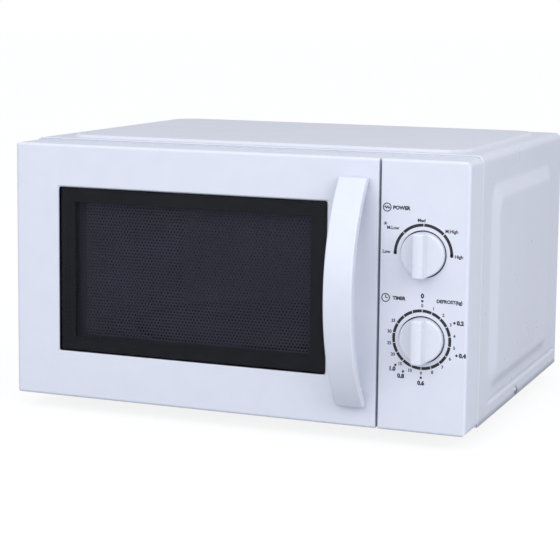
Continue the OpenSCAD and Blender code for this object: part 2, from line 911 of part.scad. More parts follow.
module fan_blade() {
    hub_r = 11;
    hub_h = 15;
    blade_count = 7;
    blade_t = 1.4;
    blade_w = 22;
    pitch = 32;
    y0 = fan_wall_y - 20;
    color("whitesmoke") {
        rod_y([fan_x, y0 + 1, fan_z], hub_h, hub_r);
        rod_y([fan_x, y0 + 2, fan_z], fan_wall_y + 18 - y0, fan_shaft_r);
        intersection() {
            rod_y([fan_x, y0, fan_z], 18, fan_r);
            translate([fan_x, y0 + 1 + hub_h / 2, fan_z])
                for (i = [0:blade_count - 1])
                    rotate([0, 360 * i / blade_count, 0])
                        translate([hub_r - 2, 0, 0]) rotate([pitch, 0, 0])
                            translate([0, -blade_t / 2, -blade_w / 2]) cube([fan_r, blade_t, blade_w]);
        }
    }
}

module thermal_cutout() {
    y = guide_y1 + 14;
    z = guide_z1 - 20;
    color("black") rod_x([bay_x0, y, z], 3, 9);
    color("silver") rod_x([bay_x0 + 3, y, z], 3, 6);
}

module line_filter_board() {
    stand = 6;
    board = 52;
    board_t = 1.6;
    choke_r = 4.5;
    x0 = bay_x0 + 48;
    z0 = z_base + 56;
    y1 = fan_wall_y - stand;
    y0 = y1 - board_t;
    color("darkgreen") box([x0, y0, z0], [x0 + board, y1, z0 + board]);
    color("silver") for (x = [x0 + 5, x0 + board - 5], z = [z0 + 5, z0 + board - 8])
        rod_y([x, y1 - eps, z], stand + eps, 2.5);
    // Ring choke, box capacitor and fuse
    color("goldenrod") translate([x0 + 15, y0 + eps, z0 + 34]) rotate([90, 0, 0])
        rotate_extrude() translate([choke_r + 3, choke_r]) circle(choke_r);
    color("gold") box([x0 + 28, y0 - 11.4, z0 + 25], [x0 + 46, y0 + eps, z0 + 43]);
    color("white") rod_x([x0 + 8, y0 - 3, z0 + 12], 34, 3.4);
}

// ---- lamp and turntable drive ----

lamp_neck_r = 5;

module lamp_holder() {
    flange = 15;
    flange_t = 3;
    cup_r = 14;
    cup_l = 25;
    inner_r = 12;
    color("ivory") difference() {
        union() {
            box([bay_x0, lamp_y - flange, lamp_z - flange],
                [bay_x0 + flange_t, lamp_y + flange, lamp_z + flange]);
            rod_x([bay_x0, lamp_y, lamp_z], flange_t + cup_l, cup_r);
        }
        rod_x([bay_x0 - 1, lamp_y, lamp_z], cup_l + 1, inner_r);
        rod_x([bay_x0 + cup_l - 2, lamp_y, lamp_z], 12, lamp_neck_r + 2 * hole_gap);
    }
}

// A bulb turned about X, a ball that runs into a straight neck
module oven_lamp() {
    bulb_r = 8;
    neck_l = 20;
    color("lightyellow") translate([bay_x0 + 13, lamp_y, lamp_z]) rotate([0, 90, 0])
        rotate_extrude() {
            intersection() {
                circle(bulb_r);
                translate([0, -bulb_r]) square([bulb_r, 2 * bulb_r]);
            }
            square([lamp_neck_r, neck_l]);
        }
}

module turntable_motor() {
    can_r = 25;
    can_h = 15;
    ear_x = 30;
    ear_half = [8, 5];
    ear_t = 1.5;
    under = cav_z0 - sheet_t;
    color("silver") difference() {
        union() {
            rod_z([tray_x, tray_y, under - can_h], can_h, can_r);
            for (s = [-1, 1])
                box([tray_x + s * ear_x - ear_half.x, tray_y - ear_half.y, under - ear_t],
                    [tray_x + s * ear_x + ear_half.x, tray_y + ear_half.y, under]);
        }
        rod_z([tray_x, tray_y, under - drive_depth - 1], drive_depth + 3, drive_r + run_gap);
    }
}

module turntable_coupler() {
    hub_z = cav_z0 + 1;
    hub_h = tray_z - hub_z - 0.5;
    drive_z = cav_z0 - sheet_t - drive_depth;
    arm = [18, 7, 6];
    color("ivory") {
        rod_z([tray_x, tray_y, drive_z], hub_z - drive_z + 1, drive_r);
        rod_z([tray_x, tray_y, hub_z], hub_h, 9);
        for (a = [0, 120, 240])
            translate([tray_x, tray_y, hub_z + hub_h - arm.z]) rotate(a)
                translate([0, -arm.y / 2, 0]) cube(arm);
    }
}

module glass_tray() {
    lug_r = 3;
    lug_h = 4.5;
    lug_x = 13;
    flat_r = tray_r - 16;
    color("lightcyan") {
        translate([tray_x, tray_y, tray_z]) rotate_extrude() polygon([
            [0, 0], [flat_r, 0], [tray_r - 3, rim_h - 3], [tray_r, rim_h - 3],
            [tray_r, rim_h], [tray_r - 4.5, rim_h], [flat_r - 1.5, tray_t], [0, tray_t]
        ]);
        for (a = [60, 180, 300])
            translate([tray_x, tray_y, tray_z]) rotate(a)
                translate([lug_x, 0, -lug_h]) cylinder(h = lug_h + eps, r = lug_r);
    }
}

// Rollers stand at ring_r on stub axles that point outwards
module roller_ring() {
    band_w = 7;
    band_h = 4;
    z = cav_z0 + tray_lift_h / 2;
    color("white") {
        translate([tray_x, tray_y, z - band_h / 2]) rotate_extrude()
            translate([ring_r - roller_w / 2 - 1 - band_w, 0]) square([band_w, band_h]);
        for (a = roller_angles)
            translate([tray_x, tray_y, z]) rotate(a) {
                rod_x([ring_r - roller_w / 2 - 3, 0, 0], roller_w + 4.5, axle_r);
                rod_x([ring_r + roller_w / 2 + 0.8, 0, 0], 1.5, axle_r + 1.4);
            }
    }
}

roller_angles = [90, 210, 330];

module roller(a) {
    color("white") translate([tray_x, tray_y, cav_z0 + tray_lift_h / 2]) rotate(a) difference() {
        rod_x([ring_r - roller_w / 2, 0, 0], roller_w, roller_r);
        rod_x([ring_r - roller_w, 0, 0], 2 * roller_w, axle_r + run_gap);
    }
}

module roller_1() {
    roller(roller_angles[0]);
}

module roller_2() {
    roller(roller_angles[1]);
}

module roller_3() {
    roller(roller_angles[2]);
}

// ---- door ----

// The door seen from above, shrunk by inset, with its rear left corner
// round about the hinge pin
module door_plan(inset, y_back) {
    rect4([x_left + inset, y_front + inset], [x_door - inset, y_pivot],
        [max(side_r - inset, 0), max(gap_r - inset, 0), 0, 0]);
    translate([x_pivot, y_front + inset]) square([x_door - inset - x_pivot, y_back - y_front - inset]);
    translate([x_pivot, y_pivot]) circle(pivot_inset - inset);
}

module window_cut(grow) {
    round_rect([win_x0 - grow, win_z0 - grow], [win_x1 + grow, win_z1 + grow], 2);
}

module door_frame() {
    half = glass_gap + bevel;
    color("white") difference() {
        intersection() {
            along_y(y_front, y_door - y_front)
                rect4([x_left, z_base], [x_door, z_top], [corner_r, gap_r, gap_r, corner_r]);
            translate([0, 0, z_base]) linear_extrude(front_h) door_plan(0, y_door);
            along_x(x_left - 1, body_w)
                rect4([y_front, z_base], [y_door + 1, z_top], [edge_r, 0, 0, edge_r]);
        }
        // Hollow behind the face, open at the back
        intersection() {
            translate([0, 0, z_base + wall_t]) linear_extrude(front_h - 2 * wall_t)
                door_plan(wall_t, y_door + 1);
            box([x_left, y_front + face_t, z_base], [x_door, y_door + 2, z_top]);
        }
        // Window, with a bevel around its front edge
        along_y(y_front - 1, face_t + 2) window_cut(glass_gap);
        for (z = [win_z0 - glass_gap, win_z1 + glass_gap])
            along_x(win_x0 - half, win_x1 - win_x0 + 2 * half)
                translate([y_front, z]) circle(bevel, $fn = 4);
        for (x = [win_x0 - glass_gap, win_x1 + glass_gap])
            translate([x, y_front, win_z0 - half]) linear_extrude(win_z1 - win_z0 + 2 * half)
                circle(bevel, $fn = 4);
        // Slots that the hinge arms swing through
        for (z = [z_arm_high, z_arm_low - arm_t])
            box([x_left - 1, y_pivot - arm_w / 2 - 1, z - 1],
                [x_pivot + arm_w / 2 + 1, y_door + 1, z + arm_t + 1]);
        for (s = [-1, 1])
            rod_y([handle_x, y_front - 1, handle_z + s * handle_screw_z], face_t + 2, screw_hole_r);
    }
    // Rebate that the glass rests on
    color("white") along_y(y_front + glass_sink + glass_t, rebate_t) difference() {
        window_cut(rebate);
        window_cut(-rebate);
    }
    color("white") along_y(y_front + face_t - eps, glass_sink + glass_t - face_t + 2 * eps) difference() {
        window_cut(rebate);
        window_cut(glass_gap);
    }
}

module door_glass() {
    color("black") along_y(y_front + glass_sink, glass_t) window_cut(0);
}

module door_inner_panel() {
    in_x0 = win_x0 + rebate;
    in_x1 = win_x1 - rebate;
    in_z0 = win_z0 + rebate;
    in_z1 = win_z1 - rebate;
    flange_gap = wall_t + fit_gap;
    color("gainsboro") {
        // Flat rear face with the window recess through it
        difference() {
            box([skirt_x0, pan_y, skirt_z0], [skirt_x1, pan_y + sheet_t, skirt_z1]);
            box([in_x0, pan_y - 1, in_z0], [in_x1, pan_y + 3, in_z1]);
        }
        // Recess walls down to the screen, with a lip
        difference() {
            box([in_x0 - 1, screen_y + screen_t, in_z0 - 1], [in_x1 + 1, pan_y + eps, in_z1 + 1]);
            box([in_x0, screen_y + screen_t + 1, in_z0], [in_x1, pan_y + 3, in_z1]);
            box([in_x0 + 3, screen_y, in_z0 + 3], [in_x1 - 3, pan_y, in_z1 - 3]);
        }
        // Choke channel wall and flange
        difference() {
            box([skirt_x0, flange_y, skirt_z0], [skirt_x1, pan_y + eps, skirt_z1]);
            box([skirt_x0 + 1, flange_y - 1, skirt_z0 + 1], [skirt_x1 - 1, pan_y + 3, skirt_z1 - 1]);
        }
        difference() {
            box([x_left + flange_gap, flange_y, z_base + flange_gap],
                [x_door - flange_gap, flange_y + 1, z_top - flange_gap]);
            box([skirt_x0 + 1, flange_y - 1, skirt_z0 + 1], [skirt_x1 - 1, flange_y + 3, skirt_z1 - 1]);
            for (z = [hook_high_z, hook_low_z])
                box([x_latch - 5, flange_y - 1, z - hook_h / 2 - tooth_h - 1],
                    [x_latch + 5, flange_y + 3, z + hook_h / 2 + latch_travel + 1]);
        }
        // Lugs with the holes for the hinge pins
        for (z = [z_arm_high - lug_gap - lug_t, z_arm_low + lug_gap])
            difference() {
                union() {
                    rod_z([x_pivot, y_pivot, z], lug_t, 7);
                    box([x_pivot, flange_y + 1 - eps, z], [x_pivot + 12, y_pivot + 6, z + lug_t]);
                    box([x_pivot - 5, flange_y + 1 - eps, z], [x_pivot + 1, y_pivot, z + lug_t]);
                }
                rod_z([x_pivot, y_pivot, z - 1], lug_t + 2, pin_r + run_gap);
            }
    }
}

module door_screen() {
    color("gray") box([win_x0 + rebate - screen_lap, screen_y, win_z0 + rebate - screen_lap],
        [win_x1 - rebate + screen_lap, screen_y + screen_t, win_z1 - rebate + screen_lap]);
}

module window_film() {
    lap = 4;
    color("lightblue") along_y(pan_y + sheet_t, 0.4) round_rect(
        [win_x0 + rebate - lap, win_z0 + rebate - lap],
        [win_x1 - rebate + lap, win_z1 - rebate + lap], 3);
}

module choke_cover() {
    gap = wall_t + fit_gap;
    color("dimgray") difference() {
        box([x_pivot + fit_gap, pan_y - 1.5, z_base + gap], [x_door - gap, pan_y + sheet_t, z_top - gap]);
        box([skirt_x0 - fit_gap, pan_y - 3, skirt_z0 - fit_gap],
            [skirt_x1 + fit_gap, pan_y + 3, skirt_z1 + fit_gap]);
        for (z = [hook_high_z, hook_low_z])
            box([x_latch - 4, pan_y - 3, z - hook_h / 2 - tooth_h - 1],
                [x_latch + 4, pan_y + 3, z + hook_h / 2 + latch_travel + 1]);
        for (z = [z_arm_high, z_arm_low - arm_t])
            box([x_pivot - 1, pan_y - 3, z - 1],
                [x_pivot + arm_w / 2 + 1, pan_y + 3, z + arm_t + 1]);
    }
}

module handle() {
    bow_edge_r = 2.5;
    clip = 2 * handle_proud;
    bore_depth = handle_screw_len - face_t + 1;
    color("white") difference() {
        union() {
            // The bow
            intersection() {
                translate([handle_x, bow_y, handle_z]) rotate([0, 90, 0]) rotate_extrude()
                    rect4([bow_r - handle_t, -handle_w / 2], [bow_r, handle_w / 2],
                        [0, bow_edge_r, bow_edge_r, 0]);
                box([handle_x - handle_w, y_front - clip, handle_z - handle_half],
                    [handle_x + handle_w, y_front, handle_z + handle_half]);
            }
            // The feet, under the ends of the bow
            intersection() {
                translate([handle_x - handle_w / 2, bow_y, handle_z]) rotate([0, 90, 0])
                    cylinder(h = handle_w, r = bow_r - handle_t / 2);
                for (s = [-1, 1])
                    translate([handle_x, 0, handle_z + s * handle_screw_z])
                        box([-handle_w / 2, y_front - clip, -handle_foot / 2],
                            [handle_w / 2, y_front, handle_foot / 2]);
            }
        }
        for (s = [-1, 1])
            rod_y([handle_x, y_front - bore_depth, handle_z + s * handle_screw_z],
                bore_depth + 1, screw_hole_r);
    }
}

module handle_screws() {
    color("silver") for (s = [-1, 1])
        translate([handle_x, y_front + face_t, handle_z + s * handle_screw_z])
            rotate([-90, 0, 0]) screw(handle_screw_len);
}

module latch_hooks() {
    bar_y0 = y_front + 10;
    bar_y1 = y_front + 15;
    x0 = x_latch - hook_t / 2;
    color("whitesmoke") {
        box([x_latch - 6, bar_y0, hook_low_z - 20], [x_latch + 6, bar_y1, hook_high_z + latch_bar_end]);
        for (z = [hook_high_z, hook_low_z])
            along_x(x0, hook_t) polygon([
                [bar_y1 - eps, z - hook_h / 2], [hook_tip_y - 11, z - hook_h / 2],
                [hook_tip_y - 10, z - hook_h / 2 - tooth_h], [hook_tip_y - 4, z - hook_h / 2 - tooth_h],
                [hook_tip_y, z - hook_h / 2 + 1], [hook_tip_y, z + hook_h / 2],
                [bar_y1 - eps, z + hook_h / 2]
            ]);
    }
}

module latch_spring() {
    coil_gap = 6;
    color("silver") translate([x_latch, y_front + 12.5, hook_high_z + latch_bar_end + coil_gap])
        coil(5, 3, 0.5, 2);
}

// ---- knobs and shafts ----

// A round base with a straight grip across it; the grip is upright at rest
module knob(z) {
    grip_h = y_knob - y_front + knob_proud;
    chamfer = 1.5;
    color("white") translate([dial_x, y_knob, z]) rotate([90, 0, 0]) difference() {
        union() {
            cylinder(h = knob_base, r = knob_r);
            translate([0, 0, knob_base - eps])
                cylinder(h = chamfer, r1 = knob_r, r2 = knob_r - chamfer);
            intersection() {
                cylinder(h = grip_h, r = knob_r);
                translate([-grip_w / 2, -knob_r, 0]) cube([grip_w, 2 * knob_r, grip_h]);
            }
        }
        translate([0, 0, -1]) cylinder(h = knob_bore + 1, r = shaft_r + run_gap);
    }
}

module power_knob() {
    knob(power_zc);
}

module timer_knob() {
    knob(timer_zc);
}

module shaft(z) {
    tail = 10;
    y0 = y_knob - knob_bore;
    color("silver") rod_y([dial_x, y0, z], control_y + tail - y0, shaft_r);
}

module power_shaft() {
    shaft(power_zc);
}

module timer_shaft() {
    shaft(timer_zc);
}

cabinet();
base_plate();
rear_plate();
front_plate();
cavity();
feet();
cabinet_screws();
rear_screws();
hinge_upper();
hinge_lower();
cord_gland();
waveguide();
waveguide_cover();
control_panel();
timer_unit();
timer_bell();
power_selector();
latch_board();
primary_switch();
secondary_switch();
monitor_switch();
magnetron_yoke();
magnetron_tube();
magnetron_filter();
transformer_core();
transformer_windings();
hv_capacitor();
capacitor_clamp();
hv_diode();
fan_wall();
fan_motor();
thermal_cutout();
line_filter_board();
oven_lamp();
lamp_holder();
turntable_motor();
door_frame();
door_glass();
door_inner_panel();
door_screen();
choke_cover();
window_film();
handle();
handle_screws();
latch_hooks();
latch_spring();
primary_plunger();
secondary_plunger();
monitor_plunger();
power_knob();
power_shaft();
timer_knob();
timer_shaft();
turntable_coupler();
glass_tray();
roller_ring();
roller_1();
roller_2();
roller_3();
fan_blade();
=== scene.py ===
# %% [markdown]
# # A countertop microwave oven, finished in Blender
#
# The oven's design is already fixed: every panel, hinge pin and wheel was built in CAD at its real size.
# Blender gets that model as a frame that never moves. What is left is the look: pressed sheet with soft
# bevels, a bowed handle with rounded edges, moulded knobs, a perforated door screen, printed dials, and
# a finish with real surface detail for each material.
#
# Everything is in metres, X runs across the front, the door faces -Y, and Z is up from the feet.

# %% Load the frame
import json
import math

import bmesh
import bpy
from mathutils import Matrix, Vector


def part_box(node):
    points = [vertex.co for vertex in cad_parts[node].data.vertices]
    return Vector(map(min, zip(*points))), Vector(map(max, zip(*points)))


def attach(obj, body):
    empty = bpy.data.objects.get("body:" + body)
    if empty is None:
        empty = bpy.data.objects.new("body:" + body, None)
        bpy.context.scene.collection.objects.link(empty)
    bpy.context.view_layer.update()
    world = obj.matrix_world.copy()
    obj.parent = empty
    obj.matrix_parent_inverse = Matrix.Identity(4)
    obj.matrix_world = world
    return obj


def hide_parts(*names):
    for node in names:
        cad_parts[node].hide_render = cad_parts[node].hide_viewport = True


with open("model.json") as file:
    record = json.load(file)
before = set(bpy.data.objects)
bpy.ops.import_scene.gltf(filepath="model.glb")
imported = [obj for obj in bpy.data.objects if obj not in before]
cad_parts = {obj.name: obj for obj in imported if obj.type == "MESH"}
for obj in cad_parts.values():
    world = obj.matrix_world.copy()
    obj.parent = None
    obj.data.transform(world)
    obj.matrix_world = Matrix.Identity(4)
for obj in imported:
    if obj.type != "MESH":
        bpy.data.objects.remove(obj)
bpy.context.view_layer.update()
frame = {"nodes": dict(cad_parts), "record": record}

record = frame["record"]
nodes = frame["nodes"]

# %% [markdown]
# ## Where things are
#
# A piece made here has to meet its CAD neighbours exactly. So wherever a CAD node has the place, the place
# comes from that node's box, and only sizes that no box gives are typed in. `mm` keeps them readable.

# %% Sizes taken from the frame
mm = 0.001

panel_lo, panel_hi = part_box("control_panel")
glass_lo, glass_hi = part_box("door_glass")
screen_lo, screen_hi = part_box("door_screen")
handle_lo, handle_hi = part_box("handle")
case_lo, case_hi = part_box("cabinet")
timer_lo, timer_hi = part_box("timer_knob")
power_lo, power_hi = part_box("power_knob")

front_y = panel_lo.y
side_x = panel_hi.x
top_z = panel_hi.z
dial_x = (timer_lo.x + timer_hi.x) / 2
timer_z = (timer_lo.z + timer_hi.z) / 2
power_z = (power_lo.z + power_hi.z) / 2
print(f"front at y {front_y / mm:.1f} mm, dials at x {dial_x / mm:.1f}, "
      f"z {timer_z / mm:.1f} and {power_z / mm:.1f}")

# %% [markdown]
# ## Camera and light
#
# The oven is seen from its right front corner, a little above its middle, through a long lens. Its upright
# edges look parallel, which a lens pointed down can't give, so the lens is tilted less and its picture is
# shifted, as on a view camera. Sheet steel and white plastic show their shape only by soft changes of
# tone, so the light is a big bright surround with two large soft lamps: a weak one on the door's side and
# a stronger one on the cabinet's side.

# %% Camera
camera_place = (0.5976, -1.5477, 0.3809)
yaw, pitch, roll = (math.radians(angle) for angle in (21.58, -7.0, -0.6))
aim = Matrix.Rotation(yaw, 3, "Z") @ Matrix.Rotation(pitch, 3, "X") @ Matrix.Rotation(roll, 3, "Y")
right, forward, up = aim.col
camera = bpy.data.objects.new("camera", bpy.data.cameras.new("camera"))
bpy.context.scene.collection.objects.link(camera)
camera.data.sensor_width = 36
camera.data.lens = 109.8
camera.data.shift_y = -0.115
camera.data.clip_start, camera.data.clip_end = 0.05, 100
camera.matrix_world = Matrix((right, up, -forward)).transposed().to_4x4()
camera.location = camera_place
bpy.context.scene.camera = camera
print("camera at", [round(x, 3) for x in camera.location])


# %% Lamps and surround
def softbox(name, place, target, size, power, tint):
    """A square area lamp that faces a target."""
    lamp = bpy.data.objects.new(name, bpy.data.lights.new(name, "AREA"))
    lamp.data.shape = "SQUARE"
    lamp.data.size = size
    lamp.data.energy = power
    lamp.data.color = tint
    lamp.location = place
    lamp.rotation_mode = "QUATERNION"
    lamp.rotation_quaternion = (Vector(target) - Vector(place)).to_track_quat("-Z", "Y")
    bpy.context.scene.collection.objects.link(lamp)
    print(f"{name}: {power} W, {size} m wide")


oven_middle = (0, 0, 0.13)
softbox("key_lamp", (-0.35, -1.6, 1.0), oven_middle, size=1.6, power=9, tint=(1.0, 1.0, 1.0))
softbox("side_lamp", (1.65, -1.1, 1.1), oven_middle, size=1.4, power=16, tint=(0.98, 0.99, 1.0))


def surround(colour, bright_side, low, high):
    """A soft surround, brighter on one side, that the camera sees as plain white."""
    world = bpy.data.worlds.new("surround")
    bpy.context.scene.world = world
    world.use_nodes = True
    tree = world.node_tree
    tree.nodes.clear()
    out = tree.nodes.new("ShaderNodeOutputWorld")
    mix = tree.nodes.new("ShaderNodeMixShader")
    ray = tree.nodes.new("ShaderNodeLightPath")
    seen = tree.nodes.new("ShaderNodeBackground")
    lit = tree.nodes.new("ShaderNodeBackground")
    place = tree.nodes.new("ShaderNodeTexCoord")
    dot = tree.nodes.new("ShaderNodeVectorMath")
    dot.operation = "DOT_PRODUCT"
    dot.inputs[1].default_value = Vector(bright_side).normalized()
    level = tree.nodes.new("ShaderNodeMapRange")
    for socket, value in zip(level.inputs[1:5], (-1.0, 1.0, low, high)):
        socket.default_value = value
    seen.inputs["Color"].default_value = (1, 1, 1, 1)
    lit.inputs["Color"].default_value = (*colour, 1)
    tree.links.new(place.outputs["Generated"], dot.inputs[0])
    tree.links.new(dot.outputs["Value"], level.inputs[0])
    tree.links.new(level.outputs[0], lit.inputs["Strength"])
    tree.links.new(ray.outputs["Is Camera Ray"], mix.inputs["Fac"])
    tree.links.new(lit.outputs[0], mix.inputs[1])
    tree.links.new(seen.outputs[0], mix.inputs[2])
    tree.links.new(mix.outputs[0], out.inputs["Surface"])


surround(colour=(0.94, 0.96, 1.0), bright_side=(0.2, -1.0, 0.3), low=0.55, high=1.2)
bpy.context.scene.view_settings.view_transform = "Standard"

# %% [markdown]
# ## Building materials
#
# No real finish is one flat colour. White powder coat has a faint orange peel, moulded plastic has the
# fine grain of its mould, galvanised sheet has spangles. Effects that several finishes share are node
# groups with named inputs: one gives the fine grain and a slow change of tone, one finds the edges where
# a coat wears thin, one finds upward faces where dust settles. Each material places them with its own
# values and keeps its shader to itself.


# %% Colours and node helpers
def srgb(red, green, blue):
    """A colour given as 0-255 sRGB, in the linear values that shaders take."""
    def linear(c):
        c /= 255
        return c / 12.92 if c <= 0.04045 else ((c + 0.055) / 1.055) ** 2.4

    return (linear(red), linear(green), linear(blue), 1.0)


def add(tree, kind, **settings):
    """A new node with its properties set."""
    node = tree.nodes.new(kind)
    for key, value in settings.items():
        setattr(node, key, value)
    return node


def feed(tree, socket, source):
    """Links a socket to an output, or sets it to a constant."""
    if isinstance(source, bpy.types.NodeSocket):
        tree.links.new(source, socket)
    elif source is not None:
        socket.default_value = source


def maths(tree, operation, *values, clamp=False):
    """A Math node's result."""
    node = add(tree, "ShaderNodeMath", operation=operation, use_clamp=clamp)
    for i, value in enumerate(values):
        feed(tree, node.inputs[i], value)
    return node.outputs[0]


def times(tree, first, second, clamp=False):
    """The product of two values."""
    return maths(tree, "MULTIPLY", first, second, clamp=clamp)


def blend_colour(tree, amount, low, high, mode="MIX"):
    """The result of mixing two colours."""
    node = add(tree, "ShaderNodeMix", data_type="RGBA", blend_type=mode)
    feed(tree, node.inputs[0], amount)
    feed(tree, node.inputs[6], low)
    feed(tree, node.inputs[7], high)
    return node.outputs[2]


def ramp(tree, value, low, high, to_low=0.0, to_high=1.0):
    """A value moved from one range to another, and held inside it."""
    node = add(tree, "ShaderNodeMapRange")
    for socket, setting in zip(node.inputs[:5], (value, low, high, to_low, to_high)):
        feed(tree, socket, setting)
    return node.outputs[0]


def noise(tree, where, scale, detail=2.0, rough=0.5):
    """A noise texture's value on object coordinates."""
    node = add(tree, "ShaderNodeTexNoise")
    feed(tree, node.inputs["Vector"], where)
    feed(tree, node.inputs["Scale"], scale)
    node.inputs["Detail"].default_value = detail
    node.inputs["Roughness"].default_value = rough
    return node.outputs["Fac"]


def cells(tree, where, scale):
    """A Voronoi texture's outputs on object coordinates."""
    node = add(tree, "ShaderNodeTexVoronoi", feature="F1")
    tree.links.new(where, node.inputs["Vector"])
    node.inputs["Scale"].default_value = scale
    return node.outputs


def channels(tree, colour):
    """The red, green and blue of a colour."""
    node = add(tree, "ShaderNodeSeparateColor")
    tree.links.new(colour, node.inputs[0])
    return node.outputs


# %% Shared effects
def shared_effect(name, inputs, outputs):
    """An empty shader group with float inputs and outputs."""
    tree = bpy.data.node_groups.new(name, "ShaderNodeTree")
    for label, value in inputs:
        socket = tree.interface.new_socket(name=label, in_out="INPUT", socket_type="NodeSocketFloat")
        socket.default_value = value
    for label in outputs:
        tree.interface.new_socket(name=label, in_out="OUTPUT", socket_type="NodeSocketFloat")
    return tree, add(tree, "NodeGroupInput").outputs, add(tree, "NodeGroupOutput").inputs


def make_fine_grain():
    """Fine relief, and a slow change of tone over a hundred times its size."""
    tree, given, put = shared_effect(
        "fine_grain", [("Grain per metre", 1500), ("Mottle", 0.04)], ["Height", "Tone"])
    where = add(tree, "ShaderNodeTexCoord").outputs["Object"]
    fine = noise(tree, where, given["Grain per metre"], 3.0, 0.6)
    broad = noise(tree, where, times(tree, given["Grain per metre"], 0.02), 2.0)
    tree.links.new(fine, put["Height"])
    spread = times(tree, ramp(tree, broad, 0.3, 0.7), given["Mottle"])
    tree.links.new(maths(tree, "SUBTRACT", 1.0, spread), put["Tone"])
    return tree


def make_edge_wear():
    """Finds sharp edges by comparing the true normal with one rounded over."""
    tree, given, put = shared_effect("edge_wear", [("Width", 0.0012), ("Amount", 0.5)], ["Wear"])
    bevel = add(tree, "ShaderNodeBevel", samples=4)
    tree.links.new(given["Width"], bevel.inputs["Radius"])
    flat = add(tree, "ShaderNodeNewGeometry").outputs["Normal"]
    dot = add(tree, "ShaderNodeVectorMath", operation="DOT_PRODUCT")
    tree.links.new(bevel.outputs[0], dot.inputs[0])
    tree.links.new(flat, dot.inputs[1])
    edge = ramp(tree, dot.outputs["Value"], 0.995, 0.90)
    where = add(tree, "ShaderNodeTexCoord").outputs["Object"]
    broken = ramp(tree, noise(tree, where, 220.0, 4.0, 0.7), 0.42, 0.6)
    worn = times(tree, edge, broken)
    tree.links.new(times(tree, worn, given["Amount"], clamp=True), put["Wear"])
    return tree


def make_settled_dust():
    """Dust on faces that look up, in soft patches."""
    tree, given, put = shared_effect("settled_dust", [("Amount", 0.1)], ["Dust"])
    normal = add(tree, "ShaderNodeSeparateXYZ")
    tree.links.new(add(tree, "ShaderNodeNewGeometry").outputs["Normal"], normal.inputs[0])
    upward = ramp(tree, normal.outputs["Z"], 0.5, 1.0)
    where = add(tree, "ShaderNodeTexCoord").outputs["Object"]
    patch = ramp(tree, noise(tree, where, 14.0, 5.0, 0.65), 0.35, 0.75, 0.3, 1.0)
    share = times(tree, upward, patch)
    tree.links.new(times(tree, share, given["Amount"], clamp=True), put["Dust"])
    return tree


effects = {g.name: g for g in (make_fine_grain(), make_edge_wear(), make_settled_dust())}
print("shared effects:", ", ".join(effects))


# %% The start of every finish
def use_effect(tree, name, **values):
    """Places a shared effect, and returns its outputs."""
    node = add(tree, "ShaderNodeGroup", node_tree=effects[name])
    for label, value in values.items():
        node.inputs[label.replace("_", " ")].default_value = value
    return node.outputs


def relief(tree, height, depth):
    """A bump normal from a height, with its depth in metres."""
    node = add(tree, "ShaderNodeBump")
    node.inputs["Distance"].default_value = depth
    tree.links.new(height, node.inputs["Height"])
    return node.outputs["Normal"]


def start_finish(name, metallic=0.0, ior=1.5, specular=0.5):
    """A material with a Principled shader, and its tree, shader and object coordinates."""
    material = bpy.data.materials.new(name)
    material.use_nodes = True
    tree = material.node_tree
    shader = tree.nodes["Principled BSDF"]
    shader.inputs["Metallic"].default_value = metallic
    shader.inputs["IOR"].default_value = ior
    shader.inputs["Specular IOR Level"].default_value = specular
    where = add(tree, "ShaderNodeTexCoord").outputs["Object"]
    return material, tree, shader, where


def dress(tree, shader, colour, gloss, normal):
    """Feeds a shader its colour, roughness and normal."""
    for label, source in (("Base Color", colour), ("Roughness", gloss), ("Normal", normal)):
        feed(tree, shader.inputs[label], source)


def grained_finish(name, colour, rough, grain, depth, mottle, dust=0.0, wear=None):
    """A coat or a moulding: fine grain and a slow change of tone, and dust and worn edges if given."""
    material, tree, shader, where = start_finish(name)
    surface = use_effect(tree, "fine_grain", Grain_per_metre=grain, Mottle=mottle)
    tone = blend_colour(tree, 1.0, colour, surface["Tone"], "MULTIPLY")
    gloss = ramp(tree, noise(tree, where, 35.0, 3.0), 0.3, 0.7, rough - 0.05, rough + 0.05)
    if wear:
        width, amount, worn_colour = wear
        worn = use_effect(tree, "edge_wear", Width=width, Amount=amount)["Wear"]
        tone = blend_colour(tree, worn, tone, worn_colour)
    if dust:
        settled = use_effect(tree, "settled_dust", Amount=dust)["Dust"]
        tone = blend_colour(tree, settled, tone, srgb(196, 190, 180))
        gloss = maths(tree, "ADD", gloss, times(tree, settled, 0.4))
    dress(tree, shader, tone, gloss, relief(tree, surface["Height"], depth))
    return material


# %% [markdown]
# ## Paint and plastic
#
# The cabinet is sprayed steel, so it has a slightly wavy, satin coat. The door frame, panel and handle
# are moulded in white plastic with a fine even grain, and the knobs are the same plastic from a smoother
# mould. Printing and the screen's paint are thin coats of their own. All of these differ only in their
# values, so one table holds them and a loop makes them. The inside of the oven is grey-white enamel with
# fine speckles.

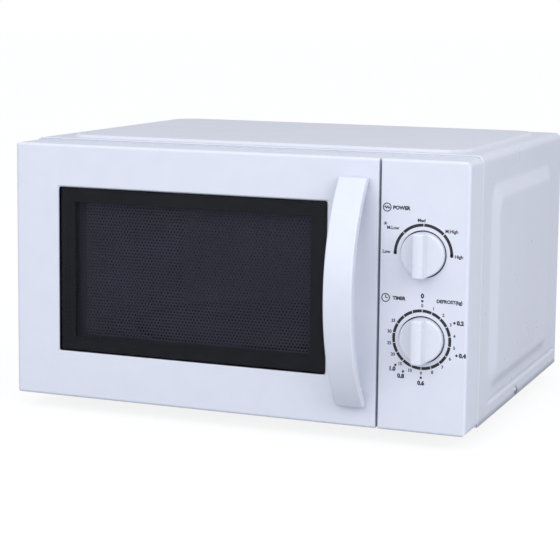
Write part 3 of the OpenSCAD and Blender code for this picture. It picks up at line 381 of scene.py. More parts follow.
# %% Paint and plastic finishes
# Each coat: colour, roughness, grains per metre, depth of the grain, mottle and dust, then any wear on
# its edges: width, amount and colour.
coats = {
    "painted_steel": (srgb(206, 209, 221), 0.32, 420.0, 0.012 * mm, 0.03, 0.03),
    "white_moulding": (srgb(207, 211, 223), 0.38, 2600.0, 0.012 * mm, 0.025, 0.03,
                       (0.8 * mm, 0.3, srgb(222, 225, 233))),
    "knob_plastic": (srgb(209, 212, 223), 0.3, 1800.0, 0.006 * mm, 0.02),
    "black_plastic": (srgb(28, 28, 30), 0.45, 2200.0, 0.02 * mm, 0.2, 0.08),
    "choke_plastic": (srgb(186, 189, 194), 0.5, 2000.0, 0.02 * mm, 0.06),
    "ivory_plastic": (srgb(222, 218, 204), 0.42, 2000.0, 0.012 * mm, 0.05, 0.06),
    "red_plastic": (srgb(170, 34, 30), 0.38, 2000.0, 0.012 * mm, 0.06),
    "foot_rubber": (srgb(44, 44, 46), 0.78, 900.0, 0.05 * mm, 0.25, 0.2),
    "screen_paint": (srgb(122, 122, 134), 0.5, 1200.0, 0.01 * mm, 0.12),
    "margin_paint": (srgb(92, 93, 102), 0.55, 1200.0, 0.01 * mm, 0.12),
    "black_print": (srgb(17, 18, 21), 0.5, 1500.0, 0.004 * mm, 0.15),
    "dial_print_and_gap_shade": (srgb(22, 22, 26), 0.5, 2500.0, 0.004 * mm, 0.2),
}
coated = {name: grained_finish(name, *values) for name, values in coats.items()}
print(len(coated), "grained finishes")


# %% Enamel
def oven_enamel():
    """Grey-white enamel with the fine dark speckles of a baked powder coat."""
    material, tree, shader, where = start_finish("oven_enamel")
    surface = use_effect(tree, "fine_grain", Grain_per_metre=600.0, Mottle=0.05)
    dark = ramp(tree, cells(tree, where, 420.0)["Distance"], 0.16, 0.1)
    base = blend_colour(tree, 1.0, srgb(204, 207, 210), surface["Tone"], "MULTIPLY")
    dress(tree, shader, blend_colour(tree, dark, base, srgb(150, 153, 158)),
          ramp(tree, surface["Height"], 0.3, 0.7, 0.25, 0.36), relief(tree, surface["Height"], 0.05 * mm))
    return material


# %% [markdown]
# ## Metals
#
# Galvanised sheet shows spangles, flat crystals with their own tone and gloss, which a Voronoi pattern
# gives. Screws and shafts are turned steel with fine rings, the transformer's core is a pack of thin
# laminations, and its windings are enamelled wire lying turn beside turn. Both are bands: a Wave texture
# at scale 1 repeats every `band_spacing` metres, so the pitch of the layers sets its scale.


# %% Metal finishes
band_spacing = 0.314


def streaks(tree, where, scale, stretch):
    """Noise drawn out along some axes, as by brushing or turning."""
    node = add(tree, "ShaderNodeMapping")
    node.inputs["Scale"].default_value = stretch
    tree.links.new(where, node.inputs["Vector"])
    return noise(tree, node.outputs[0], scale, 3.0, 0.6)


def galvanised_steel():
    material, tree, shader, where = start_finish("galvanised_steel", metallic=1.0)
    crystal = channels(tree, cells(tree, where, 240.0)["Color"])["Red"]
    base = blend_colour(tree, crystal, srgb(172, 175, 178), srgb(190, 193, 196))
    worn = use_effect(tree, "edge_wear", Width=0.5 * mm, Amount=0.6)["Wear"]
    fine = streaks(tree, where, 180.0, (1.0, 1.0, 6.0))
    dress(tree, shader, blend_colour(tree, worn, base, srgb(214, 216, 218)),
          ramp(tree, maths(tree, "ADD", crystal, fine), 0.5, 1.5, 0.34, 0.46), relief(tree, fine, 0.01 * mm))
    return material


def turned_steel():
    material, tree, shader, where = start_finish("turned_steel", metallic=1.0)
    fine = streaks(tree, where, 900.0, (1.0, 8.0, 1.0))
    dress(tree, shader, blend_colour(tree, fine, srgb(150, 152, 156), srgb(208, 210, 212)),
          ramp(tree, fine, 0.3, 0.7, 0.2, 0.4), relief(tree, fine, 0.02 * mm))
    return material


def pressed_aluminium():
    material, tree, shader, where = start_finish("pressed_aluminium", metallic=1.0)
    surface = use_effect(tree, "fine_grain", Grain_per_metre=1400.0, Mottle=0.12)
    dress(tree, shader, blend_colour(tree, 1.0, srgb(206, 208, 211), surface["Tone"], "MULTIPLY"),
          ramp(tree, surface["Height"], 0.3, 0.7, 0.3, 0.48), relief(tree, surface["Height"], 0.02 * mm))
    return material


def layered_finish(name, low, high, pitch, direction, rough, metallic, depth):
    """Thin layers or turns side by side, as a wave across one axis."""
    material, tree, shader, where = start_finish(name, metallic=metallic)
    wave = add(tree, "ShaderNodeTexWave", wave_type="BANDS", bands_direction=direction)
    tree.links.new(where, wave.inputs["Vector"])
    wave.inputs["Scale"].default_value = band_spacing / pitch
    wave.inputs["Distortion"].default_value = 0.4
    line = wave.outputs["Fac"]
    broad = noise(tree, where, 60.0, 3.0)
    shade = blend_colour(tree, line, low, high)
    dress(tree, shader, blend_colour(tree, ramp(tree, broad, 0.4, 0.7, 0.0, 0.35), shade, low),
          ramp(tree, broad, 0.3, 0.7, rough - 0.06, rough + 0.08), relief(tree, line, depth))
    return material


def core_laminations():
    return layered_finish("core_laminations", srgb(70, 72, 76), srgb(120, 122, 126), pitch=0.7 * mm,
                          direction="Y", rough=0.5, metallic=0.9, depth=0.08 * mm)


def wire_windings():
    return layered_finish("wire_windings", srgb(110, 48, 22), srgb(196, 104, 52), pitch=0.8 * mm,
                          direction="Z", rough=0.32, metallic=0.8, depth=0.15 * mm)


# %% [markdown]
# ## Glass, film, mica and board
#
# The door glass has a light grey tint, and light passes it twice, so the screen behind shows only darkly.
# The tray is clear glass, and a thin film covers the cavity's side of the window. Mica is a thin flaky
# sheet with a warm sheen, and the filter board is green laminate with copper tracks under its lacquer.


# %% Glass and sheet finishes
def clear_pane(name, tint, rough, ior, specular, smear):
    """Glass with a tint and the faint uneven gloss of handling."""
    material, tree, shader, where = start_finish(name, ior=ior, specular=specular)
    shader.inputs["Transmission Weight"].default_value = 1.0
    patch = noise(tree, where, 18.0, 5.0, 0.7)
    dress(tree, shader, tint, ramp(tree, patch, 0.45, 0.8, rough, rough + smear),
          relief(tree, noise(tree, where, 9.0, 1.0), 0.02 * mm))
    return material


def mica_sheet():
    material, tree, shader, where = start_finish("mica_sheet")
    flake = channels(tree, cells(tree, where, 300.0)["Color"])
    dress(tree, shader, blend_colour(tree, flake["Red"], srgb(176, 164, 138), srgb(206, 196, 170)),
          ramp(tree, flake["Green"], 0.0, 1.0, 0.25, 0.6), relief(tree, flake["Blue"], 0.02 * mm))
    return material


def circuit_board():
    material, tree, shader, where = start_finish("circuit_board")
    tracks = add(tree, "ShaderNodeTexBrick", offset=0.5)
    turned = add(tree, "ShaderNodeMapping")
    turned.inputs["Rotation"].default_value = (math.pi / 2, 0, 0)
    tree.links.new(where, turned.inputs["Vector"])
    tree.links.new(turned.outputs[0], tracks.inputs["Vector"])
    values = {"Scale": 60.0, "Mortar Size": 0.06, "Color1": srgb(20, 74, 46), "Color2": srgb(26, 86, 52),
              "Mortar": srgb(58, 120, 66)}
    for label, value in values.items():
        tracks.inputs[label].default_value = value
    dress(tree, shader, tracks.outputs["Color"], ramp(tree, noise(tree, where, 300.0), 0.3, 0.7, 0.25, 0.4),
          relief(tree, tracks.outputs["Fac"], 0.03 * mm))
    return material


# %% Give every CAD piece its finish
door_glass = clear_pane("tinted_glass", srgb(172, 172, 180), 0.03, ior=1.15, specular=0.5, smear=0.03)
tray_glass = clear_pane("clear_glass", srgb(236, 244, 242), 0.01, ior=1.5, specular=0.5, smear=0.04)
clear_film = clear_pane("clear_film", srgb(226, 228, 230), 0.08, ior=1.4, specular=0.4, smear=0.12)

finishes = {
    "painted_steel_white": coated["painted_steel"],
    "white_moulding": coated["white_moulding"],
    "knob_white": coated["knob_plastic"],
    "black_plastic": coated["black_plastic"],
    "choke_plastic": coated["choke_plastic"],
    "ivory_plastic": coated["ivory_plastic"],
    "red_plastic": coated["red_plastic"],
    "foot_rubber": coated["foot_rubber"],
    "screen_steel": coated["screen_paint"],
    "cavity_paint": oven_enamel(),
    "galvanised_steel": galvanised_steel(),
    "screw_steel": turned_steel(),
    "aluminium_part": pressed_aluminium(),
    "core_steel": core_laminations(),
    "copper_winding": wire_windings(),
    "window_black": door_glass,
    "clear_glass": tray_glass,
    "clear_film": clear_film,
    "mica": mica_sheet(),
    "circuit_board": circuit_board(),
}
slot_of = {part["node"]: part["material_slot"] for part in record["subparts"]}
for name, node in nodes.items():
    node.data.materials.clear()
    node.data.materials.append(finishes[slot_of[name]])
print(len(finishes), "finishes on", len(nodes), "nodes")


# %% [markdown]
# ## Making pieces
#
# Every piece made here ends the same way: its mesh is shaded, it gets a finish, it rides the CAD body it
# is fixed to, and the CAD node that it stands for is hidden. One helper does that. Another turns a
# Geometry Nodes tree into a plain mesh, which is how everything that repeats on this oven is made.


# %% Helpers for new pieces
def piece(name, mesh, finish, body, stands_for=(), sharp=35):
    """An object at the origin with its finish, its body and the CAD node that it replaces."""
    mesh.materials.clear()
    mesh.materials.append(finish)
    mesh.shade_smooth()
    mesh.set_sharp_from_angle(angle=math.radians(sharp))
    thing = bpy.data.objects.new(name, mesh)
    bpy.context.scene.collection.objects.link(thing)
    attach(thing, body)
    if stands_for:
        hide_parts(*stands_for)
    print(f"{name}: {len(mesh.polygons)} faces on {body}")
    return thing


def cleaned(mesh, merge=0.0):
    """A mesh with its doubles merged, if a distance is given, and its faces turned outward."""
    work = bmesh.new()
    work.from_mesh(mesh)
    if merge:
        bmesh.ops.remove_doubles(work, verts=work.verts, dist=merge)
        bmesh.ops.dissolve_degenerate(work, dist=merge, edges=work.edges)
    bmesh.ops.recalc_face_normals(work, faces=work.faces)
    work.to_mesh(mesh)
    work.free()
    return mesh


def mesh_from(name, verts, faces, merge=0.0):
    """A clean mesh from corners and faces."""
    mesh = bpy.data.meshes.new(name)
    mesh.from_pydata(verts, [], faces)
    return cleaned(mesh, merge)


def joined(name, meshes):
    """One mesh from many."""
    work = bmesh.new()
    for mesh in meshes:
        work.from_mesh(mesh)
    mesh = bpy.data.meshes.new(name)
    work.to_mesh(mesh)
    work.free()
    return mesh


# %% Flat shapes with thickness
def prism(outline, lo, hi, axis):
    """A closed solid from an outline, drawn from lo to hi along one axis."""
    count = len(outline)

    def corner(pair, along):
        place = list(pair)
        place.insert(axis, along)
        return tuple(place)

    verts = [corner(pair, lo) for pair in outline] + [corner(pair, hi) for pair in outline]
    faces = [tuple(range(count)), tuple(range(2 * count - 1, count - 1, -1))]
    faces += [(i, (i + 1) % count, (i + 1) % count + count, i + count) for i in range(count)]
    return mesh_from("prism", verts, faces)


def round_rectangle(lo, hi, radius, steps=6):
    """The corners of a rectangle with rounded corners, counterclockwise."""
    points = []
    centres = [(hi[0], hi[1]), (lo[0], hi[1]), (lo[0], lo[1]), (hi[0], lo[1])]
    for quarter, (x, y) in enumerate(centres):
        inner_x = x - radius if quarter in (0, 3) else x + radius
        inner_y = y - radius if quarter in (0, 1) else y + radius
        for step in range(steps + 1):
            angle = math.radians(90 * (quarter + step / steps))
            points.append((inner_x + radius * math.cos(angle), inner_y + radius * math.sin(angle)))
    return points


def plate_with_window(outer, inner, lo, hi):
    """A flat ring between two outlines of equal length in X and Z, from lo to hi along Y."""
    count = len(outer)
    verts = [(x, y, z) for y in (lo, hi) for ring in (outer, inner) for x, z in ring]
    faces = []
    for i in range(count):
        j = (i + 1) % count
        faces.append((i, j, count + j, count + i))
        faces.append((2 * count + j, 2 * count + i, 3 * count + i, 3 * count + j))
        faces.append((j, i, 2 * count + i, 2 * count + j))
        faces.append((count + i, count + j, 3 * count + j, 3 * count + i))
    return mesh_from("plate", verts, faces)


# %% Helpers for Geometry Nodes
def node_tree(name, inputs):
    """A geometry tree with named inputs, one geometry output, and the inputs' identifiers."""
    tree = bpy.data.node_groups.new(name, "GeometryNodeTree")
    tree.interface.new_socket(name="Geometry", in_out="OUTPUT", socket_type="NodeSocketGeometry")
    tree.interface.new_socket(name="Geometry", in_out="INPUT", socket_type="NodeSocketGeometry")
    keys = {}
    for label, kind in inputs.items():
        socket = tree.interface.new_socket(name=label, in_out="INPUT", socket_type="NodeSocket" + kind)
        keys[label] = socket.identifier
    return tree, add(tree, "NodeGroupInput").outputs, add(tree, "NodeGroupOutput").inputs[0], keys


def place_node(tree, kind, links, **settings):
    """A node with its properties set and its sockets fed, by name or number."""
    node = add(tree, kind, **settings)
    for key, source in links.items():
        feed(tree, node.inputs[key], source)
    return node


def vector(tree, x=0.0, y=0.0, z=0.0):
    return place_node(tree, "ShaderNodeCombineXYZ", {0: x, 1: y, 2: z}).outputs[0]


def end_tree(tree, geometry, finish, out):
    """Realizes the instances and sets the finish."""
    real = place_node(tree, "GeometryNodeRealizeInstances", {0: geometry}).outputs[0]
    done = place_node(tree, "GeometryNodeSetMaterial", {0: real, "Material": finish}).outputs[0]
    tree.links.new(done, out)


def grown(tree, keys, values, start=None):
    """The plain mesh that a tree makes with these values."""
    thing = bpy.data.objects.new("work", start or bpy.data.meshes.new("work"))
    bpy.context.scene.collection.objects.link(thing)
    modifier = thing.modifiers.new("grow", "NODES")
    modifier.node_group = tree
    for label, value in values.items():
        modifier[keys[label]] = value
    seen = thing.evaluated_get(bpy.context.evaluated_depsgraph_get())
    mesh = bpy.data.meshes.new_from_object(seen)
    thing.modifiers.remove(modifier)
    bpy.data.objects.remove(thing)
    return mesh


def slab(tree, sheet, thickness):
    """A flat sheet made a closed slab: its extruded copy, and the first sheet turned over."""
    grow = place_node(tree, "GeometryNodeExtrudeMesh",
                      {"Mesh": sheet, "Offset Scale": thickness, "Individual": False})
    back = place_node(tree, "GeometryNodeFlipFaces", {0: sheet}).outputs[0]
    both = add(tree, "GeometryNodeJoinGeometry")
    tree.links.new(back, both.inputs[0])
    tree.links.new(grow.outputs[0], both.inputs[0])
    return place_node(tree, "GeometryNodeMergeByDistance", {0: both.outputs[0], "Distance": 1e-6}).outputs[0]


# %% [markdown]
# ## The cabinet
#
# The cabinet is one steel sheet folded over the oven like an arch. A large panel is pressed out of each
# side and of the top to stiffen it, and a long groove runs along the foot of each side. It could be
# modelled with bevels, but a pressed sheet is really one surface with a height: so it is a fine grid
# that follows the arch, and each point is moved out or in by functions for the pressings and the groove.
# A Solidify modifier then gives the sheet its thickness.

# %% Sizes of the sheet
sheet_t = 1 * mm
fold_r = 7 * mm
rear_lip = 12 * mm
rear_bend_r = 1.6 * mm
top_rise = 2.5 * mm
case_x = side_x
case_low = case_lo.z
case_top = case_hi.z - top_rise

# Each pressing: its lowest and highest corner, the run of its slopes, and the radius of its corners.
side_lo, side_hi = (front_y + 71 * mm, case_low + 27 * mm), (case_hi.y - 47 * mm, top_z - 26 * mm)
side_slope_lo, side_slope_hi = (15 * mm, 10.5 * mm), (15 * mm, 13 * mm)
side_corner_r = 18 * mm

top_lo, top_hi = (-case_x + 20 * mm, case_lo.y + 15 * mm), (case_x - 20 * mm, case_hi.y - 20 * mm)
top_slope = 3 * mm
top_corner_r = 30 * mm

groove_z = case_low + 15.5 * mm
groove_front, groove_rear = side_lo[0] + 6 * mm, case_hi.y - 12 * mm
groove_r = 3 * mm
groove_depth = 1.5 * mm
print(f"sides pressed out {(case_hi.x - case_x) / mm:.1f} mm, top {(case_hi.z - case_top) / mm:.1f} mm")

# %% Sheet heights
knee = 0.16  # the share of a slope that bends at each of its ends
flat_corner_share = 0.7  # the corner radius of the flat part, as a share of the pressing's


def inside_by(x, y, lo, hi, radius):
    """How far a point lies inside a rounded rectangle; negative outside."""
    half_x, half_y = (hi[0] - lo[0]) / 2, (hi[1] - lo[1]) / 2
    qx = abs(x - (lo[0] + hi[0]) / 2) - half_x + radius
    qy = abs(y - (lo[1] + hi[1]) / 2) - half_y + radius
    return radius - math.hypot(max(qx, 0), max(qy, 0)) - min(max(qx, qy), 0)


def pressed(x, y, lo, hi, flat_lo, flat_hi, radius, rise):
    """The height of a pressed panel: sloping sides between two rounded rectangles, with soft knees."""
    outer = inside_by(x, y, lo, hi, radius)
    inner = inside_by(x, y, flat_lo, flat_hi, radius * flat_corner_share)
    slope = max(flat_lo[0] - lo[0], flat_lo[1] - lo[1])
    if inner > 0:
        t = 1 + inner / slope
    elif outer < 0:
        t = outer / slope
    else:
        t = outer / (outer - inner)
    if t <= -knee:
        return 0.0
    if t < knee:
        return rise * (t + knee) ** 2 / (4 * knee)
    if t < 1 - knee:
        return rise * t
    return rise * (1 - max(1 + knee - t, 0) ** 2 / (4 * knee))


def side_height(y, z):
    """How far the side sheet stands out at a place."""
    flat_lo = (side_lo[0] + side_slope_lo[0], side_lo[1] + side_slope_lo[1])
    flat_hi = (side_hi[0] - side_slope_hi[0], side_hi[1] - side_slope_hi[1])
    panel = pressed(y, z, side_lo, side_hi, flat_lo, flat_hi, side_corner_r, case_hi.x - case_x)
    past_end = max(groove_front - y, y - groove_rear, 0)
    off = math.hypot(past_end, z - groove_z)
    groove = max(math.sqrt(max(groove_r ** 2 - off ** 2, 0)) - (groove_r - groove_depth), 0)
    return panel - groove


def top_height(x, y):
    """How far the top sheet stands up at a place."""
    flat_lo = (top_lo[0] + top_slope, top_lo[1] + top_slope)
    flat_hi = (top_hi[0] - top_slope, top_hi[1] - top_slope)
    return pressed(x, y, top_lo, top_hi, flat_lo, flat_hi, top_corner_r, case_hi.z - case_top)


# %% [markdown]
# ### A grid that is fine only where it must be
#
# An even grid fine enough for the groove would need millions of faces. So the rows and columns follow
# stops, each a distance from an edge in millimetres and the spacing up to the next stop: about 1 mm over
# the slopes and the groove, and 4 to 7 mm over what is flat.

# %% Grid spacing
depth_from_front = ((0, 5), (13, 1.2), (21, 1.7), (66, 6))
depth_from_rear = ((84, 1.7), (25, 1.1), (7, 2.5))
height_from_low = ((0, 5), (12, 0.6), (19, 2.5), (25, 1.6), (58, 6))
height_from_top = ((66, 1.6), (26, 4))
width_from_side = ((19, 1.1), (25, 1.7), (52, 7))
width_to_side = ((52, 1.7), (25, 1.1), (19, 4))


def stops_from(edge, direction, stops):
    """Stops in metres, from distances and spacings in millimetres off an edge."""
    return [(edge + direction * (away * mm), step * mm) for away, step in stops]


def stepped(stops):
    """Values through (place, step) stops: each step holds until the next place."""
    values = [stops[0][0]]
    for (start, step), (end, _) in zip(stops, stops[1:]):
        count = max(1, round(abs(end - start) / step))
        values += [start + (end - start) * i / count for i in range(1, count + 1)]
    return values


depths = stepped(stops_from(case_lo.y, 1, depth_from_front) + stops_from(case_hi.y, -1, depth_from_rear)
                 + [(case_hi.y - rear_bend_r, 1)])
sides = stepped(stops_from(case_low, 1, height_from_low) + stops_from(case_top, -1, height_from_top)
                + [(case_top - fold_r, 1)])
across = stepped([(case_x - fold_r, 4 * mm)] + stops_from(case_x, -1, width_from_side)
                 + stops_from(-case_x, 1, width_to_side) + [(-case_x + fold_r, 1)])
print(f"grid: {len(depths)} rows deep, {len(sides)} up each side, {len(across)} across the top")


# %% Cabinet
same_point = 0.02 * mm


def make_cabinet():
    folds = [math.radians(9 * i) for i in range(1, 10)]
    path = [("side", 1, z) for z in sides] + [("fold", 1, a) for a in folds]
    path += [("top", 0, x) for x in across[1:-1]]
    path += [("fold", -1, a) for a in reversed(folds)] + [("side", -1, z) for z in reversed(sides)]
    rows = [(0.0, y, True) for y in depths]
    rows += [(rear_bend_r * (1 - math.cos(a)), case_hi.y - rear_bend_r * (1 - math.sin(a)), False)
             for a in (math.radians(22.5 * i) for i in range(1, 5))]
    rows += [(rear_lip * share, case_hi.y, False) for share in (0.5, 1)]

    def corner(kind, turn, value, inset, y, shaped):
        """A grid point: its place along the arch, how far the rear lip has turned in, and its depth."""
        if kind == "side":
            out = side_height(y, value) if shaped else 0.0
            return (turn * (case_x - inset + out), y, min(value, case_top - inset))
        if kind == "top":
            up = top_height(value, y) if shaped else 0.0
            return (max(-case_x + inset, min(case_x - inset, value)), y, case_top - inset + up)
        radius = max(fold_r - inset, 0.0)
        hub = max(fold_r, inset)
        out, up = radius * math.cos(value), radius * math.sin(value)
        return (turn * (case_x - hub + out), y, case_top - hub + up)

    verts = [corner(*spot, *row) for row in rows for spot in path]
    wide = len(path)
    faces = [(j * wide + i, j * wide + i + 1, (j + 1) * wide + i + 1, (j + 1) * wide + i)
             for j in range(len(rows) - 1) for i in range(wide - 1)]
    mesh = mesh_from("cabinet_sheet", verts, faces, merge=same_point)
    work = bmesh.new()
    work.from_mesh(mesh)
    top_face = max(work.faces, key=lambda face: face.calc_center_median().z)
    if top_face.normal.z < 0:
        bmesh.ops.reverse_faces(work, faces=work.faces)
    work.to_mesh(mesh)
    work.free()
    thing = piece("cabinet_sheet", mesh, finishes["painted_steel_white"], "root",
                  ["cabinet"], sharp=60)
    wall = thing.modifiers.new("sheet_thickness", "SOLIDIFY")
    wall.thickness = sheet_t
    wall.offset = -1


make_cabinet()

# %% [markdown]
# ## The handle
#
# The handle is a bowed strap of even thickness that stands on two feet. Its side view is two arcs and
# two flat ends, so it is drawn in the YZ plane and given its width along X. The feet are a little
# narrower than the strap, so they stay in its shade, and a Bevel modifier rounds every edge as the mould
# does.

# %% Handle
strap_t = 8 * mm
foot_long = 17 * mm
foot_inset = 3 * mm
foot_setback = 1.5 * mm
foot_shoulder = 3 * mm
edge_round = 1.8 * mm
bow_steps = 60


def bow_arc(radius, centre_y, half):
    """Points of an arc in Y and Z that bulges towards the front."""
    middle_z = (handle_lo.z + handle_hi.z) / 2
    points = []
    for i in range(bow_steps + 1):
        rise = half * (2 * i / bow_steps - 1)
        points.append((centre_y - math.sqrt(radius ** 2 - rise ** 2), middle_z + rise))
    return points


def make_handle():
    half = (handle_hi.z - handle_lo.z) / 2
    sag = front_y - handle_lo.y - strap_t
    radius = (half ** 2 + sag ** 2) / (2 * sag)
    centre_y = handle_lo.y + radius
    touch = math.sqrt((radius - strap_t) ** 2 - (centre_y - front_y) ** 2)
    outer = bow_arc(radius, centre_y, half)
    inner = bow_arc(radius - strap_t, centre_y, touch)
    strap = [(front_y, handle_lo.z), *outer, (front_y, handle_hi.z), *reversed(inner)]
    parts = [prism(strap, handle_lo.x, handle_hi.x, 0)]
    for end, turn in ((handle_hi.z, -1), (handle_lo.z, 1)):
        far = end + turn * foot_long
        near_z = end + turn * foot_setback
        reach = half - foot_long - 2 * foot_shoulder
        lift = centre_y - math.sqrt((radius - strap_t / 2) ** 2 - reach ** 2)
        foot = [(front_y, near_z), (front_y - strap_t / 2, near_z), (lift, far + turn * 2 * foot_shoulder),
                (lift + strap_t, far + turn * foot_shoulder), (front_y, far)]
        parts.append(prism(foot, handle_lo.x + foot_inset, handle_hi.x - foot_inset, 0))
    thing = piece("door_handle", joined("door_handle", parts), finishes["white_moulding"], "door",
                  ["handle"])
    bevel = thing.modifiers.new("rounded_edges", "BEVEL")
    bevel.width = edge_round
    bevel.segments = 4
    bevel.limit_method = "ANGLE"
    bevel.angle_limit = math.radians(35)
    bevel.harden_normals = True
    print(f"bow radius {radius / mm:.0f} mm, gap behind it {sag / mm:.1f} mm")


make_handle()

# %% [markdown]
# ## The two knobs
#
# Each knob is a round cap with a wide grip ridge across it, and flanks that sweep down from the ridge in
# a hollow curve. The cap is a grid of columns parallel to the ridge, so the ridge keeps crisp edges, and
# its height is a sum of three simple curves: the ridge, the hollow flank and the rounded rim.

# %% Knobs
skirt_h = 6 * mm
rim_round = 1.6 * mm
grip_half = 4.3 * mm
grip_round = 1.1 * mm
flank_share = 0.36
grip_crown = 0.06
cap_columns, cap_rows = 56, 40


def knob_height(across, radius, reach, rise):
    """How far the cap stands above its skirt, at a distance across from the grip's middle."""
    side = abs(across)
    fall = min(max((side - grip_half) / (radius - grip_half), 0.0), 1.0)
    flank = flank_share * rise * (1 - fall) ** 2.2
    step = min(max((side - grip_half) / (2 * grip_round), 0.0), 1.0)
    grip = rise * (1 - grip_crown * min(side / grip_half, 1.0) ** 2)
    height = grip + (flank - grip) * (step * step * (3 - 2 * step))
    past = max(reach - (radius - rim_round), 0.0)
    return height - (rim_round - math.sqrt(max(rim_round ** 2 - past ** 2, 0.0)))


def spaced(count, low, high, dense):
    """Values from low to high, up to eight times closer together near the given places."""
    steps = 400
    reach = 0.06 * (high - low)
    grid = [low + (high - low) * i / steps for i in range(steps + 1)]
    weight = [1 + sum(7 * math.exp(-((x - d) / reach) ** 2) for d in dense) for x in grid]
    total = [0.0]
    for i in range(steps):
        total.append(total[-1] + (weight[i] + weight[i + 1]) / 2)
    values = []
    j = 0
    for i in range(count + 1):
        goal = total[-1] * i / count
        while j < steps - 1 and total[j + 1] < goal:
            j += 1
        part = (goal - total[j]) / (total[j + 1] - total[j])
        values.append(grid[j] + (grid[j + 1] - grid[j]) * part)
    return values


def make_knob(name, node, body):
    lo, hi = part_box(node)
    radius = (hi.x - lo.x) / 2
    x, z = (lo.x + hi.x) / 2, (lo.z + hi.z) / 2
    skirt_y = hi.y - skirt_h
    rise = skirt_y - lo.y
    foot_of_grip = grip_half + grip_round
    columns = spaced(cap_columns, -radius, radius, (-radius, -foot_of_grip, foot_of_grip, radius))
    rows = spaced(cap_rows, -1.0, 1.0, (-1.0, 1.0))
    verts = []
    for u in columns:
        half = math.sqrt(max(radius ** 2 - u ** 2, 0.0))
        for t in rows:
            v = half * t
            top = knob_height(u, radius, math.hypot(u, v), rise)
            verts.append((x + u, min(skirt_y - top, hi.y), z + v))
    wide = len(rows)
    faces = [(i * wide + j, i * wide + j + 1, (i + 1) * wide + j + 1, (i + 1) * wide + j)
             for i in range(len(columns) - 1) for j in range(wide - 1)]
    mesh = bpy.data.meshes.new(name)
    mesh.from_pydata(verts, [], faces)
    work = bmesh.new()
    work.from_mesh(mesh)
    bmesh.ops.remove_doubles(work, verts=work.verts, dist=0.01 * mm)
    rim = [edge for edge in work.edges if edge.is_boundary]
    wall = bmesh.ops.extrude_edge_only(work, edges=rim)["geom"]
    for vert in (v for v in wall if isinstance(v, bmesh.types.BMVert)):
        vert.co.y = hi.y
    base = [edge for edge in wall if isinstance(edge, bmesh.types.BMEdge) and edge.is_boundary]
    bmesh.ops.contextual_create(work, geom=base)
    bmesh.ops.recalc_face_normals(work, faces=work.faces)
    work.to_mesh(mesh)
    work.free()
    piece(name, mesh, finishes["knob_white"], body, [node], sharp=50)


make_knob("power_grip", "power_knob", "power_dial")
make_knob("timer_grip", "timer_knob", "timer_dial")

# %% [markdown]
# ## The door's window
#
# The glass has a black border printed around its edge, just inside its back face, so that no white shows
# through between the glass and the print. Behind it is the screen, a thin steel sheet
# punched with thousands of small holes that keep the microwaves in. Geometry Nodes punch it: one six-sided
# cell with a hole is repeated on a staggered grid, and neighbours share their edges, so it is one sheet.
# A plain margin, a hair thicker, frames the punched field.

# %% Black border on the glass
window_lo = Vector((screen_lo.x - mm, 0, screen_lo.z - mm))
window_hi = Vector((screen_hi.x + mm, 0, screen_hi.z + mm))
border_side = 15.5 * mm
border_top = 13.5 * mm
print_t = 0.08 * mm
print_inside = 0.02 * mm


def make_border():
    outer = round_rectangle((glass_lo.x + mm, glass_lo.z + mm), (glass_hi.x - mm, glass_hi.z - mm), 2 * mm)
    inner = round_rectangle((window_lo.x + border_side, window_lo.z + border_top),
                            (window_hi.x - border_side, window_hi.z - border_top), 1 * mm)
    back = glass_hi.y - print_inside
    mesh = plate_with_window(outer, inner, back - print_t, back)
    piece("glass_border", mesh, coated["black_print"], "door")


make_border()

# %% Punched screen
hole_pitch = 3.3 * mm
hole_size = 1.05 * mm
screen_t = 0.6 * mm
field_margin = {"left": 22 * mm, "right": 15 * mm, "top": 14 * mm, "bottom": 14 * mm}
row_share = math.sqrt(3) / 2  # the distance between staggered rows, as a share of the pitch


